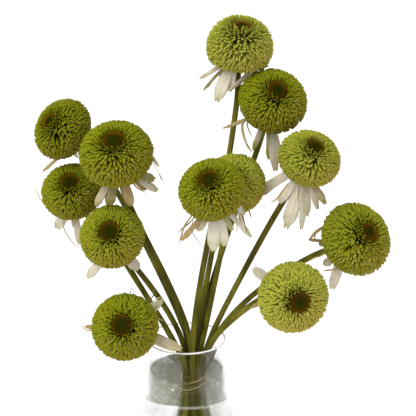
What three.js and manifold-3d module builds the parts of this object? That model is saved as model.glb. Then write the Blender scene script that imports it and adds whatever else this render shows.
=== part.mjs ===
// A tied bunch of twelve double coneflowers standing in a clear glass vase of water.
// Millimetres, +Z up, +Y away from the front. The origin is the centre of the vase's underside.
import * as THREE from 'three';
import { ConvexGeometry } from 'three/addons/geometries/ConvexGeometry.js';
import { mergeVertices } from 'three/addons/utils/BufferGeometryUtils.js';
import Module from 'manifold-3d';

const wasm = await Module();
wasm.setup();

// Room left between pieces that touch.
const GAP = 0.3;

// The vase: an upright neck over a swelling body, with a thick flat-bottomed foot.
const VASE_HEIGHT = 160;
const NECK_RADIUS = 32.5;
const NECK_FOOT = 112;
const NECK_WALL = 2;
const BODY_RADIUS = 54;
const BODY_MIDDLE = 46;
const FOOT_RADIUS = 38;
const BASE_THICKNESS = 8;
const VASE_SEGMENTS = 24;
const WATER_LEVEL = 131;

// The stems and the string that ties them, in the neck and a little to the right of its axis.
const STEM_RADIUS = 2.3;
const STEM_SIDES = 6;
const STEM_STEPS = 16;
const BUNCH_X = 6;
const SLOT_PITCH = 2.5;
const RING_RADIUS = { inner: 1.155 * SLOT_PITCH, outer: 3.029 * SLOT_PITCH };
const TIE_TOP = 133;
const TIE_FOOT = 112;
const STRING_RADIUS = 0.7;
const STRING_MIDDLE = 120.5;
const STRING_RISE = 13;
const STRING_TURNS = 2.3;
const STRING_TILT = 0.26;
const STRING_SIDES = 5;
const STRING_STEPS = 30;
const CUT_END = BASE_THICKNESS + GAP + 0.4;
const FOOT_SPREAD = 4;
const FOOT_TWIST = 50;
const STRAIGHT_FROM_TIE = [122, TIE_FOOT, 100, 70, 40, CUT_END];

// How a stem runs from the tie to its bloom: straight up first, then out, then into the bloom's
// underside. The spreading pushes the stems apart, least near the tie, where they touch.
const RISE_ABOVE_TIE = 31;
const BEND_UNDER_BLOOM = 40;
const BEND_SHARE = 0.28;
const ROUTE_STEPS = 64;
const HELD_AT_BLOOM = 5;
const HELD_AT_TIE = 2;
const COLLAR = 3;
const SPREAD_ROUNDS = 260;
const APART_AT_TIE = 5.4;
const APART_ABOVE = 6.4;
const FAN_HEIGHT = 40;
const CLEAR_OF_BLOOM = 4;

// One bloom, as shares of its radius: a flattened ball of florets with a cone sunk in its crown.
// The cone's level is a share of the crown's height.
const CROWN = 0.75;
const UNDERSIDE = 0.62;
const FLORET_CORE = 0.81;
const SEAT_ANGLE = 150;
const HEAD_LATTICE = 60;
const CONE_LATTICE = 14;
const CONE_RADIUS = 0.3;
const CONE_HALF_HEIGHT = 0.16;
const CONE_LEVEL = 0.67;
const HUB_RADIUS = 5;
const HUB_THICKNESS = 1.4;
const CALYX_RADIUS = 3.7;
const CALYX_DEPTH = 9;
const PETAL_THICKNESS = 0.8;
const WIDE_PETAL = 6.8;
const PETAL_FORWARD = 3;
const PETAL_NOTCH = 0.08;
const REAR_PETAL = { reach: 0.78, drop: 18, sag: 8, width: 6.5 };

// The bunch is arranged to be seen from the front, from this far above level.
const VIEW_PITCH = 17;

// Each bloom: its centre, its radius, where its crown faces (degrees round from +X, and up),
// and how its stem runs: its slot in the tie, and how far the stem's two bends are moved right
// and up as seen from the front. Of its white petals, those seen from the front are given by how
// far the tip lies right of and above the bloom's centre, by the width and, where it isn't the
// usual, by how far the tip is nearer than the hub. Those behind are given by how many degrees
// round the bloom they hang from its rearmost side.
const BLOOMS = [
  { at: [44, 62, 391], radius: 28.2, crown: 0.95, under: 0.46, azimuth: -74, elevation: 74,
    ring: 'inner', slot: 85, bends: [[9, 0], [0, 0]],
    petals: [[-19, -45, 12], [-8, -37, 6.5], [-33, -26, 6], [-30, -36, 4], [24, -16, 5]],
    rear: [-55, 40] },
  { at: [71, 45, 349.5], radius: 29, azimuth: -73, elevation: 45,
    ring: 'outer', slot: 65, bends: [[9, 0], [-10, 0]],
    petals: [[-41, -22, 4], [-16, -40, 5], [-3, -48, 5], [3, -58, 8], [8, -52, 7]],
    rear: [-55, 40] },
  { at: [99, 10, 310], radius: 26, azimuth: -64, elevation: 55,
    ring: 'outer', slot: 25, bends: [[-9, 0], [7, 0]],
    petals: [[-41, -29, 12, -20], [-24, -36, 8], [-18.5, -57, 11.5], [-6, -58, 5.5], [-1.5, -47, 7.5],
      [7.5, -41, 6.5], [14, -37, 7]],
    rear: [-55, 40] },
  { at: [138, 5, 244], radius: 31, azimuth: -51, elevation: 34,
    ring: 'outer', slot: -15, bends: [[0, 12], [0, 14]],
    petals: [[-38, -1, 4], [-29, -4, 6.7], [-25, -22, 7], [-19, -42, 10.5]],
    rear: [-55, 40] },
  { at: [85, -35, 209], radius: 29, azimuth: -76, elevation: 7,
    ring: 'outer', slot: -55, bends: [[0, 0], [0, 0]],
    petals: [[-31.5, 22, 8], [-34, -10, 4]],
    rear: [-55, 40] },
  { at: [21, -38, 298], radius: 26.5, azimuth: -109, elevation: 50,
    ring: 'outer', slot: -95, bends: [[-14, 0], [-4, 0]],
    petals: [[-24, -40, 6], [-11, -32, 7.5], [1.5, -48, 10.5], [10.5, -44, 9], [16, -32, 5.5],
      [31, -37, 5]],
    rear: [-90, 40] },
  { at: [39.5, 14, 288], radius: 25.5, azimuth: -95, elevation: 34,
    ring: 'inner', slot: -35, bends: [[-8, 0], [8, 0]],
    petals: [[8.5, -40, 5]],
    rear: [-70, 80] },
  { at: [-53, -18, 321], radius: 29.5, azimuth: -97, elevation: 55,
    ring: 'inner', slot: 205, bends: [[-8, 0], [16, 0]],
    petals: [[-22, -20, 5], [-17, -41, 7], [-6.5, -41, 9], [11, -41, 8], [23, -28, 6], [32, -29, 7],
      [30, -20, 8]],
    rear: [-55, 36] },
  { at: [-100, 32, 329], radius: 26.5, azimuth: -144, elevation: 36,
    ring: 'outer', slot: 105, bends: [[-4, 0], [0, 0]],
    petals: [[-20, -34, 6], [19, -29, 5]],
    rear: [-80, 20] },
  { at: [-93, 22, 279], radius: 25.5, azimuth: -94, elevation: 51,
    ring: 'outer', slot: 145, bends: [[20, 0], [12, 0]],
    petals: [[-14, -31, 9], [5, -44, 6], [1, -30, 5]],
    rear: [-55, 40] },
  { at: [-57, -25, 256], radius: 26, azimuth: -97, elevation: 36,
    ring: 'outer', slot: 185, bends: [[-5, 0], [-3, -8]],
    petals: [[-21.5, -34, 7.5], [20, -27, 9]],
    rear: [-55, 40] },
  { at: [-47, -45, 188], radius: 27, azimuth: -97, elevation: 29,
    ring: 'outer', slot: 225, bends: [[0, 0], [0, 0]],
    petals: [[-34, -2, 5], [30, 20.5, 6.5], [45, -19.5, 9], [18, -22, 5]],
    rear: [-55, 40] },
];

const MATERIALS = {
  glass: { color: 0xdfe6e4, roughness: 0.05, metalness: 0, transparent: true, opacity: 0.35 },
  water: { color: 0xb9c3b8, roughness: 0.05, metalness: 0, transparent: true, opacity: 0.5 },
  florets: { color: 0x93a632, roughness: 0.8, metalness: 0 },
  cone: { color: 0x5b3a1c, roughness: 0.85, metalness: 0 },
  petals: { color: 0xe9e8d8, roughness: 0.7, metalness: 0 },
  stem: { color: 0x4c5a23, roughness: 0.7, metalness: 0 },
  string: { color: 0xc39a55, roughness: 0.9, metalness: 0 },
  leaf: { color: 0x35461f, roughness: 0.7, metalness: 0 },
};

const material = (finish) => new THREE.MeshStandardMaterial(MATERIALS[finish]);
const radians = THREE.MathUtils.degToRad;
const vector = (x, y, z) => new THREE.Vector3(x, y, z);

const VIEW_RIGHT = vector(1, 0, 0);
const VIEW_UP = vector(0, Math.sin(radians(VIEW_PITCH)), Math.cos(radians(VIEW_PITCH)));
const VIEW_AWAY = vector(0, Math.cos(radians(VIEW_PITCH)), -Math.sin(radians(VIEW_PITCH)));

// A repeatable source of numbers from 0 to 1.
function seeded(seed) {
  let state = seed;
  return () => {
    state = (state * 1664525 + 1013904223) % 4294967296;
    return state / 4294967296;
  };
}

// The solid that a closed geometry bounds.
function solidOf(geometry) {
  const bare = geometry.clone();
  bare.deleteAttribute('normal');
  bare.deleteAttribute('uv');
  const merged = mergeVertices(bare, 1e-4);
  return new wasm.Manifold(new wasm.Mesh({
    numProp: 3,
    vertProperties: new Float32Array(merged.attributes.position.array),
    triVerts: new Uint32Array(merged.index.array),
  }));
}

// The geometry of a solid's surface.
function geometryOf(solid) {
  const mesh = solid.getMesh();
  const geometry = new THREE.BufferGeometry();
  geometry.setAttribute('position', new THREE.BufferAttribute(mesh.vertProperties, 3));
  geometry.setIndex(new THREE.BufferAttribute(mesh.triVerts, 1));
  const faceted = geometry.toNonIndexed();
  faceted.computeVertexNormals();
  return faceted;
}

// A solid of revolution about +Z, from radius and height pairs listed with the metal on the left.
function turned(profile, segments) {
  const points = profile.map(([radius, height]) => new THREE.Vector2(radius, height));
  return new THREE.LatheGeometry(points, segments).rotateX(Math.PI / 2);
}

// A round tube of a few sides along a curve.
function tube(curve, radius, sides, steps) {
  const section = new THREE.Shape();
  for (let side = 0; side < sides; side += 1) {
    const angle = (2 * Math.PI * side) / sides;
    section[side ? 'lineTo' : 'moveTo'](radius * Math.cos(angle), radius * Math.sin(angle));
  }
  section.closePath();
  return new THREE.ExtrudeGeometry(section, { steps, extrudePath: curve, bevelEnabled: false });
}

// How far the outline of a bloom reaches from its centre, at this angle from its crown.
function headReach(polar, { radius, crown, under }) {
  const flattened = 1 / Math.hypot(Math.sin(polar), Math.cos(polar) / crown);
  const below = Math.cos(polar) < 0 ? under / -Math.cos(polar) : Infinity;
  return radius * Math.min(flattened, below);
}

// A ball of small pyramids: a lattice of points, and a tip raised over each of its triangles.
function spikyBall(count, footReach, tipReach) {
  const goldenAngle = Math.PI * (3 - Math.sqrt(5));
  const lattice = [];
  for (let point = 0; point < count; point += 1) {
    const height = 1 - (2 * point + 1) / count;
    const across = Math.sqrt(1 - height * height);
    const angle = goldenAngle * point;
    lattice.push(vector(across * Math.cos(angle), across * Math.sin(angle), height));
  }
  const hull = new ConvexGeometry(lattice).attributes.position;
  const positions = [];
  for (let corner = 0; corner < hull.count; corner += 3) {
    const feet = [0, 1, 2].map((step) => new THREE.Vector3().fromBufferAttribute(hull, corner + step));
    const tip = vector(0, 0, 0).add(feet[0]).add(feet[1]).add(feet[2]).normalize();
    const raised = tip.clone().multiplyScalar(tipReach(Math.acos(tip.z)));
    const placed = feet.map((foot) => foot.clone().normalize());
    placed.forEach((foot) => foot.multiplyScalar(footReach(Math.acos(foot.z))));
    for (let side = 0; side < 3; side += 1) {
      positions.push(...placed[side], ...placed[(side + 1) % 3], ...raised);
    }
  }
  return new THREE.BufferGeometry().setAttribute(
    'position', new THREE.Float32BufferAttribute(positions, 3));
}

// The florets of one bloom, with the hollow in the crown that the cone sits in.
function floretHead(bloom, random) {
  const { radius, crown } = bloom;
  const isSeat = (polar) => polar > radians(SEAT_ANGLE);
  const reach = (polar) => headReach(polar, bloom);
  const foot = (polar) => reach(polar) * (isSeat(polar) ? 1 : FLORET_CORE);
  const tip = (polar) => reach(polar) * (isSeat(polar) ? 1 : 0.95 + 0.05 * random());
  const top = crown * radius;
  const hollow = turned([
    [0, 0.41 * top],
    [0.21 * radius, 0.43 * top],
    [0.36 * radius, 0.67 * top],
    [0.36 * radius, 1.13 * top],
    [0, 1.13 * top],
  ], 8);
  return solidOf(spikyBall(HEAD_LATTICE, foot, tip)).subtract(solidOf(hollow));
}

// The cone: a small bristly button.
function coneButton({ radius, crown }) {
  const share = CONE_HALF_HEIGHT / CONE_RADIUS;
  const reach = (polar) => (CONE_RADIUS * radius) / Math.hypot(Math.sin(polar), Math.cos(polar) / share);
  const ball = spikyBall(CONE_LATTICE, (polar) => 0.86 * reach(polar), reach);
  return solidOf(ball.translate(0, 0, CONE_LEVEL * crown * radius));
}

// A thin blade along a curve: narrow at its root, widest past the middle, notched at its tip.
function blade(curve, side, width, notch) {
  const across = width < WIDE_PETAL ? 1 : 2;
  const along = across + 2;
  const box = new THREE.BoxGeometry(1, 1, 1, across, along, 1);
  const position = box.attributes.position;
  for (let index = 0; index < position.count; index += 1) {
    const offset = position.getX(index);
    const share = position.getY(index) + 0.5;
    const isMiddle = Math.abs(offset) < 0.1;
    const place = share === 1 && isMiddle ? 1 - notch : share;
    const tangent = curve.getTangent(place);
    const normal = new THREE.Vector3().crossVectors(side, tangent).normalize();
    const breadth = width * (0.3 + 0.7 * Math.sin(Math.PI * 0.62 * share));
    const lift = PETAL_THICKNESS * position.getZ(index) + (isMiddle ? 0.1 * breadth : 0);
    const point = curve.getPoint(place);
    point.addScaledVector(side, offset * breadth);
    point.addScaledVector(normal, lift);
    position.setXYZ(index, ...point);
  }
  return box;
}

// A bloom's own frame: its centre, with local +Z through its crown.
function frameOf({ at, azimuth, elevation }) {
  const level = Math.cos(radians(elevation));
  const facing = vector(
    level * Math.cos(radians(azimuth)),
    level * Math.sin(radians(azimuth)),
    Math.sin(radians(elevation)),
  );
  const turn = new THREE.Quaternion().setFromUnitVectors(vector(0, 0, 1), facing);
  return { centre: vector(...at), facing, turn, back: turn.clone().invert() };
}

// Where a stem's axis is at this height, in and below the tie: the bunch twists as it spreads.
function slotAt({ ring, slot }, height) {
  const drop = Math.max(0, TIE_FOOT - height) / (TIE_FOOT - CUT_END);
  const spread = 1 + (FOOT_SPREAD - 1) * drop;
  const angle = radians(slot + FOOT_TWIST * drop);
  const reach = RING_RADIUS[ring] * spread;
  return vector(BUNCH_X + reach * Math.cos(angle), reach * Math.sin(angle), height);
}

// A shift to the right and up, as seen from the front.
function seenShift([right, up]) {
  return VIEW_RIGHT.clone().multiplyScalar(right).addScaledVector(VIEW_UP, up);
}

// The upper part of a stem's axis, from the bloom's underside down to the tie.
function upperRoute(bloom) {
  const { centre, facing } = frameOf(bloom);
  const depth = bloom.under * bloom.radius + 2 * GAP + HUB_THICKNESS;
  const top = centre.clone().addScaledVector(facing, -depth);
  const foot = slotAt(bloom, TIE_TOP);
  const span = top.distanceTo(foot);
  const reach = Math.min(BEND_UNDER_BLOOM, BEND_SHARE * span);
  const [bendShift, riseShift] = bloom.bends.map(seenShift);
  const bend = top.clone().addScaledVector(facing, -reach).add(bendShift);
  const rise = foot.clone().add(vector(0, 0, RISE_ABOVE_TIE)).add(riseShift);
  return new THREE.CubicBezierCurve3(top, bend, rise, foot).getSpacedPoints(ROUTE_STEPS);
}

// How far a point of a stem is pushed by the other stems and by their blooms.
function pushOff(point, stem, routes, blooms) {
  const push = vector(0, 0, 0);
  const fan = THREE.MathUtils.clamp((point.z - TIE_TOP) / FAN_HEIGHT, 0, 1);
  const apart = THREE.MathUtils.lerp(APART_AT_TIE, APART_ABOVE, fan);
  routes.forEach((others, other) => {
    if (other === stem) return;
    const away = new THREE.Vector3().subVectors(point, blooms[other].centre);
    const intoBloom = blooms[other].radius + CLEAR_OF_BLOOM - away.length();
    if (intoBloom > 0) push.addScaledVector(away.normalize(), 0.5 * intoBloom);
    for (const next of others) {
      const across = new THREE.Vector3().subVectors(point, next);
      const tooClose = apart - across.length();
      if (tooClose > 0) push.addScaledVector(across.setZ(0).normalize(), 0.3 * tooClose);
    }
  });
  return push;
}

// How far a point of a stem is lifted so that the stem passes over the vase's lip.
function liftOverLip(point) {
  const axial = Math.hypot(point.x, point.y);
  const insideNeck = NECK_RADIUS - NECK_WALL - STEM_RADIUS - 0.8;
  const overLip = VASE_HEIGHT + STEM_RADIUS + 4 * GAP;
  const isOverWall = axial > insideNeck && axial < NECK_RADIUS + 4;
  return isOverWall ? Math.max(0, 0.5 * (overLip - point.z)) : 0;
}

// Spreads the stems until none touches another, a bloom or the lip. The pushes are shared along
// each stem so that it stays smooth, and both of its ends stay where they are.
function spreadStems(blooms) {
  const starts = blooms.map(upperRoute);
  const pushes = starts.map((points) => points.map(() => vector(0, 0, 0)));
  const pushed = () => starts.map((points, stem) => points.map(
    (point, index) => point.clone().add(pushes[stem][index])));
  const isHeld = (index) => index < HELD_AT_BLOOM || index > ROUTE_STEPS - HELD_AT_TIE;
  for (let round = 0; round < SPREAD_ROUNDS; round += 1) {
    const routes = pushed();
    routes.forEach((route, stem) => {
      route.forEach((point, index) => {
        if (isHeld(index)) return;
        pushes[stem][index].add(pushOff(point, stem, routes, blooms));
        pushes[stem][index].z += liftOverLip(point);
      });
      const before = pushes[stem].map((push) => push.clone());
      for (let index = 1; index < ROUTE_STEPS; index += 1) {
        if (isHeld(index)) continue;
        const shared = before[index - 1].clone().add(before[index + 1]).multiplyScalar(0.25);
        pushes[stem][index].multiplyScalar(0.5).add(shared);
      }
    });
  }
  return pushed();
}

// A stem's whole axis: square to the bloom at its very top, then its upper part, then straight
// through the tie and on to its cut end.
function stemCurve(bloom, upper) {
  const points = upper.filter((_, index) => index % 4 === 0);
  points.splice(1, 0, points[0].clone().addScaledVector(bloom.facing, -COLLAR));
  for (const height of STRAIGHT_FROM_TIE) points.push(slotAt(bloom, height));
  return new THREE.CatmullRomCurve3(points, false, 'centripetal');
}

// A stem with the flared calyx that the hub of petals rests on.
function stemSolid(bloom, curve) {
  const calyx = turned([
    [0, -CALYX_DEPTH],
    [0.7 * STEM_RADIUS, -CALYX_DEPTH],
    [1.3 * STEM_RADIUS, -0.4 * CALYX_DEPTH],
    [CALYX_RADIUS, 0],
    [0, 0],
  ], STEM_SIDES);
  calyx.applyQuaternion(bloom.turn).translate(...curve.getPoint(0));
  return solidOf(tube(curve, STEM_RADIUS, STEM_SIDES, STEM_STEPS)).add(solidOf(calyx));
}

// The tips of a bloom's petals in its own frame: those seen from the front, then those behind.
function petalTips(bloom) {
  const away = VIEW_AWAY.clone().applyQuaternion(bloom.back);
  const down = vector(0, 0, -1).applyQuaternion(bloom.back);
  const under = bloom.under * bloom.radius;
  const seen = bloom.petals.map(([right, up, width, forward = PETAL_FORWARD]) => {
    const tip = seenShift([right, up]).applyQuaternion(bloom.back);
    const hubDepth = -away.z * under;
    const clearDepth = (tip.z + under + 1) / -away.z;
    return { tip: tip.addScaledVector(away, Math.max(hubDepth - forward, clearDepth)), width };
  });
  const rearmost = Math.atan2(away.y, away.x);
  const behind = bloom.rear.map((turn) => {
    const angle = rearmost + radians(turn);
    const reach = REAR_PETAL.reach * bloom.radius;
    const tip = vector(reach * Math.cos(angle), reach * Math.sin(angle), -under - REAR_PETAL.drop);
    return { tip: tip.addScaledVector(down, REAR_PETAL.sag), width: REAR_PETAL.width };
  });
  return [...seen, ...behind];
}

// The curve and the side direction of a petal, from the hub under the bloom to its tip.
function petalRun(bloom, tip) {
  const outward = vector(tip.x, tip.y, 0).normalize();
  const hub = vector(0, 0, -bloom.under * bloom.radius - GAP - 0.3 * HUB_THICKNESS);
  const root = hub.clone().addScaledVector(outward, 0.6 * HUB_RADIUS);
  const bend = hub.clone().addScaledVector(outward, 0.55 * bloom.radius);
  const side = vector(outward.y, -outward.x, 0);
  return { curve: new THREE.QuadraticBezierCurve3(root, bend, tip), side };
}

// The petals of one bloom, fused to the hub that they grow from.
function petalSolid(bloom) {
  const hub = new THREE.CylinderGeometry(HUB_RADIUS, HUB_RADIUS, HUB_THICKNESS, 7).rotateX(Math.PI / 2);
  hub.translate(0, 0, -bloom.under * bloom.radius - GAP - HUB_THICKNESS / 2);
  return petalTips(bloom).reduce((solid, { tip, width }) => {
    const { curve, side } = petalRun(bloom, tip);
    return solid.add(solidOf(blade(curve, side, width, PETAL_NOTCH)));
  }, solidOf(hub));
}

// The outside of the vase from its axis under the foot up to the lip, and the inside back down.
const VASE_OUTSIDE = [
  [0, 0],
  [FOOT_RADIUS, 0],
  [FOOT_RADIUS + 7, 4],
  [BODY_RADIUS - 3, 22],
  [BODY_RADIUS, BODY_MIDDLE],
  [BODY_RADIUS - 2, 64],
  [BODY_RADIUS - 9, 86],
  [NECK_RADIUS + 4.5, 102],
  [NECK_RADIUS + 0.8, NECK_FOOT - 2],
  [NECK_RADIUS, NECK_FOOT + 6],
  [NECK_RADIUS, VASE_HEIGHT - 6],
  [NECK_RADIUS + 1.2, VASE_HEIGHT - 2],
  [NECK_RADIUS + 0.4, VASE_HEIGHT],
];
const VASE_INSIDE = [
  [0, BASE_THICKNESS],
  [FOOT_RADIUS + 1, BASE_THICKNESS],
  [BODY_RADIUS - 6, 24],
  [BODY_RADIUS - 2.6, BODY_MIDDLE],
  [BODY_RADIUS - 4.6, 63],
  [BODY_RADIUS - 11.5, 84.5],
  [NECK_RADIUS + 2.2, 100.5],
  [NECK_RADIUS - NECK_WALL + 0.9, NECK_FOOT - 2],
  [NECK_RADIUS - NECK_WALL, NECK_FOOT + 6],
  [NECK_RADIUS - NECK_WALL, VASE_HEIGHT - 5],
  [NECK_RADIUS - NECK_WALL + 0.5, VASE_HEIGHT - 0.4],
];

function vaseGeometry() {
  return turned([...VASE_OUTSIDE, ...[...VASE_INSIDE].reverse()], VASE_SEGMENTS);
}

// The water: it fills the vase to its level, with a hole for each stem. Higher up, where the
// stems are tied, one round hole takes the whole tie.
function waterSolid(blooms) {
  const clearance = 0.5;
  const wet = VASE_INSIDE.filter(([, height]) => height < WATER_LEVEL).map(([radius, height], index) => [
    Math.max(0, radius - clearance),
    height + (index < 2 ? GAP : 0),
  ]);
  const surface = [[NECK_RADIUS - NECK_WALL - clearance, WATER_LEVEL], [0, WATER_LEVEL]];
  let water = solidOf(turned([...wet, ...surface], VASE_SEGMENTS));
  const tieHoleFoot = 100;
  const tieHoleRadius = RING_RADIUS.outer + STEM_RADIUS + 2 * STRING_RADIUS + 1.3;
  const tieHole = turned([
    [0, tieHoleFoot],
    [tieHoleRadius, tieHoleFoot],
    [tieHoleRadius, WATER_LEVEL + 1],
    [0, WATER_LEVEL + 1],
  ], 20);
  water = water.subtract(solidOf(tieHole.translate(BUNCH_X, 0, 0)));
  for (const bloom of blooms) {
    const points = [TIE_TOP, ...STRAIGHT_FROM_TIE, 0].map((height) => slotAt(bloom, height));
    const hole = tube(new THREE.CatmullRomCurve3(points, false, 'centripetal'),
      STEM_RADIUS + 3 * GAP, STEM_SIDES, 6);
    water = water.subtract(solidOf(hole));
  }
  return water;
}

// The string: a tan twine wound a little over twice round the stems, higher at the right.
function tieGeometry() {
  const turn = RING_RADIUS.outer + STEM_RADIUS + STRING_RADIUS + 3.5 * GAP;
  class Winding extends THREE.Curve {
    getPoint(share, target = new THREE.Vector3()) {
      const angle = -0.4 + 2 * Math.PI * STRING_TURNS * share;
      const across = turn * Math.cos(angle);
      const height = STRING_MIDDLE + STRING_RISE * (share - 0.5) + STRING_TILT * across;
      return target.set(BUNCH_X + across, turn * Math.sin(angle), height);
    }
  }
  return tube(new Winding(), STRING_RADIUS, STRING_SIDES, STRING_STEPS);
}

// The scrap of leaf left on a stem, standing in the neck at the right.
function leafGeometry() {
  const curve = new THREE.QuadraticBezierCurve3(
    vector(13.9, -7.2, 130), vector(15.5, -9.8, 141), vector(25, -7, 154));
  return blade(curve, vector(0.86, 0.5, 0), 7, -0.08);
}

// The whole bunch in its vase.
function buildArrangement() {
  const root = new THREE.Group();
  const add = (parent, name, geometry, finish) => {
    const mesh = new THREE.Mesh(geometry, material(finish));
    mesh.name = name;
    parent.add(mesh);
  };
  const random = seeded(12);
  const blooms = BLOOMS.map((bloom) => ({ crown: CROWN, under: UNDERSIDE, ...bloom, ...frameOf(bloom) }));
  const curves = spreadStems(blooms).map((upper, index) => stemCurve(blooms[index], upper));
  add(root, 'vase', vaseGeometry(), 'glass');
  add(root, 'water', geometryOf(waterSolid(blooms)), 'water');
  add(root, 'tie_string', tieGeometry(), 'string');
  add(root, 'leaf', leafGeometry(), 'leaf');
  blooms.forEach((bloom, index) => {
    const name = `bloom_${String(index + 1).padStart(2, '0')}`;
    const head = new THREE.Group();
    head.position.copy(bloom.centre);
    head.quaternion.copy(bloom.turn);
    add(head, `${name}_florets`, geometryOf(floretHead(bloom, random)), 'florets');
    add(head, `${name}_cone`, geometryOf(coneButton(bloom)), 'cone');
    add(head, `${name}_petals`, geometryOf(petalSolid(bloom)), 'petals');
    root.add(head);
    add(root, `${name}_stem`, geometryOf(stemSolid(bloom, curves[index])), 'stem');
  });
  return root;
}

export default buildArrangement();
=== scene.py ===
"""A tied bunch of twelve double coneflowers standing in a clear glass vase of water.

The tables give millimetres, as the part's source does, and the meshes are made in metres.
"""

import logging
import math
from dataclasses import dataclass, field
from enum import Enum
from typing import Iterable, Sequence

import bpy
import numpy as np
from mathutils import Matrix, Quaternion, Vector, noise


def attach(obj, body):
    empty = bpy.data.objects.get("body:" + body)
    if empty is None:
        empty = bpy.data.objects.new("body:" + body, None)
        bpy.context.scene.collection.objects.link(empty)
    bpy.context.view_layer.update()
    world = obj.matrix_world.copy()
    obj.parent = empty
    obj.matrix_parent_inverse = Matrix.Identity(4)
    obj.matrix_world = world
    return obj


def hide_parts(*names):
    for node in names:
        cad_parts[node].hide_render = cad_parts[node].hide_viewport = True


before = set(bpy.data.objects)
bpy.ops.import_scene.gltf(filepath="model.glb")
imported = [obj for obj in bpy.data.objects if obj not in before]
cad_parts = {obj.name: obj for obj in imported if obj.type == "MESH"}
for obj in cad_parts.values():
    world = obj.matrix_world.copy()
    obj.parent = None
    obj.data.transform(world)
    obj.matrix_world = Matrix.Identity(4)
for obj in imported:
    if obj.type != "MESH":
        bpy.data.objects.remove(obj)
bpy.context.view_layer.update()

MM = 0.001
GOLDEN_ANGLE = math.pi * (3 - math.sqrt(5))
UNDERSIDE = 0.62
STRAP_THINNESS = 0.35
DOUBLES = 1e-6
SHADE_MARKS = ("green", "aged", "dark")
VIEW_PITCH = math.radians(17)
VIEW_RIGHT = Vector((1, 0, 0))
VIEW_UP = Vector((0, math.sin(VIEW_PITCH), math.cos(VIEW_PITCH)))
VIEW_AWAY = Vector((0, math.cos(VIEW_PITCH), -math.sin(VIEW_PITCH)))

Colour = tuple[float, float, float]
log = logging.getLogger("coneflowers")


class Value:
    """A number socket of a shader, on which Python's operators add Math nodes."""

    def __init__(self, shader: "Shader", socket: bpy.types.NodeSocket) -> None:
        """Keeps the shader that the socket belongs to, and the socket."""
        self.shader = shader
        self.socket = socket

    def _with(self, operation: str, first: object, second: object = None) -> "Value":
        """Adds one Math node.

        Args:
            operation: The Math node's operation.
            first: The first operand, a Value or a number.
            second: The second operand, where the operation has one.

        Returns:
            The node's result.
        """
        operands = {0: first} if second is None else {0: first, 1: second}
        made = self.shader.node("ShaderNodeMath", {"operation": operation}, operands)
        return Value(self.shader, made.outputs[0])

    def __add__(self, other: object) -> "Value":
        """Adds."""
        return self._with("ADD", self, other)

    __radd__ = __add__

    def __sub__(self, other: object) -> "Value":
        """Subtracts."""
        return self._with("SUBTRACT", self, other)

    def __rsub__(self, other: object) -> "Value":
        """Subtracts this value from a number."""
        return self._with("SUBTRACT", other, self)

    def __mul__(self, other: object) -> "Value":
        """Multiplies."""
        return self._with("MULTIPLY", self, other)

    __rmul__ = __mul__

    def __pow__(self, other: object) -> "Value":
        """Raises to a power."""
        return self._with("POWER", self, other)

    def sine(self) -> "Value":
        """Takes the sine."""
        return self._with("SINE", self)

    def size(self) -> "Value":
        """Takes the value without its sign."""
        return self._with("ABSOLUTE", self)

    def between(self, low: float, high: float) -> "Value":
        """Rises smoothly from 0 to 1.

        Args:
            low: Where the result is 0.
            high: Where the result is 1.

        Returns:
            The smoothly stepped value.
        """
        made = self.shader.node(
            "ShaderNodeMapRange",
            {"interpolation_type": "SMOOTHSTEP"},
            {"Value": self, "From Min": low, "From Max": high},
        )
        return Value(self.shader, made.outputs["Result"])


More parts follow.
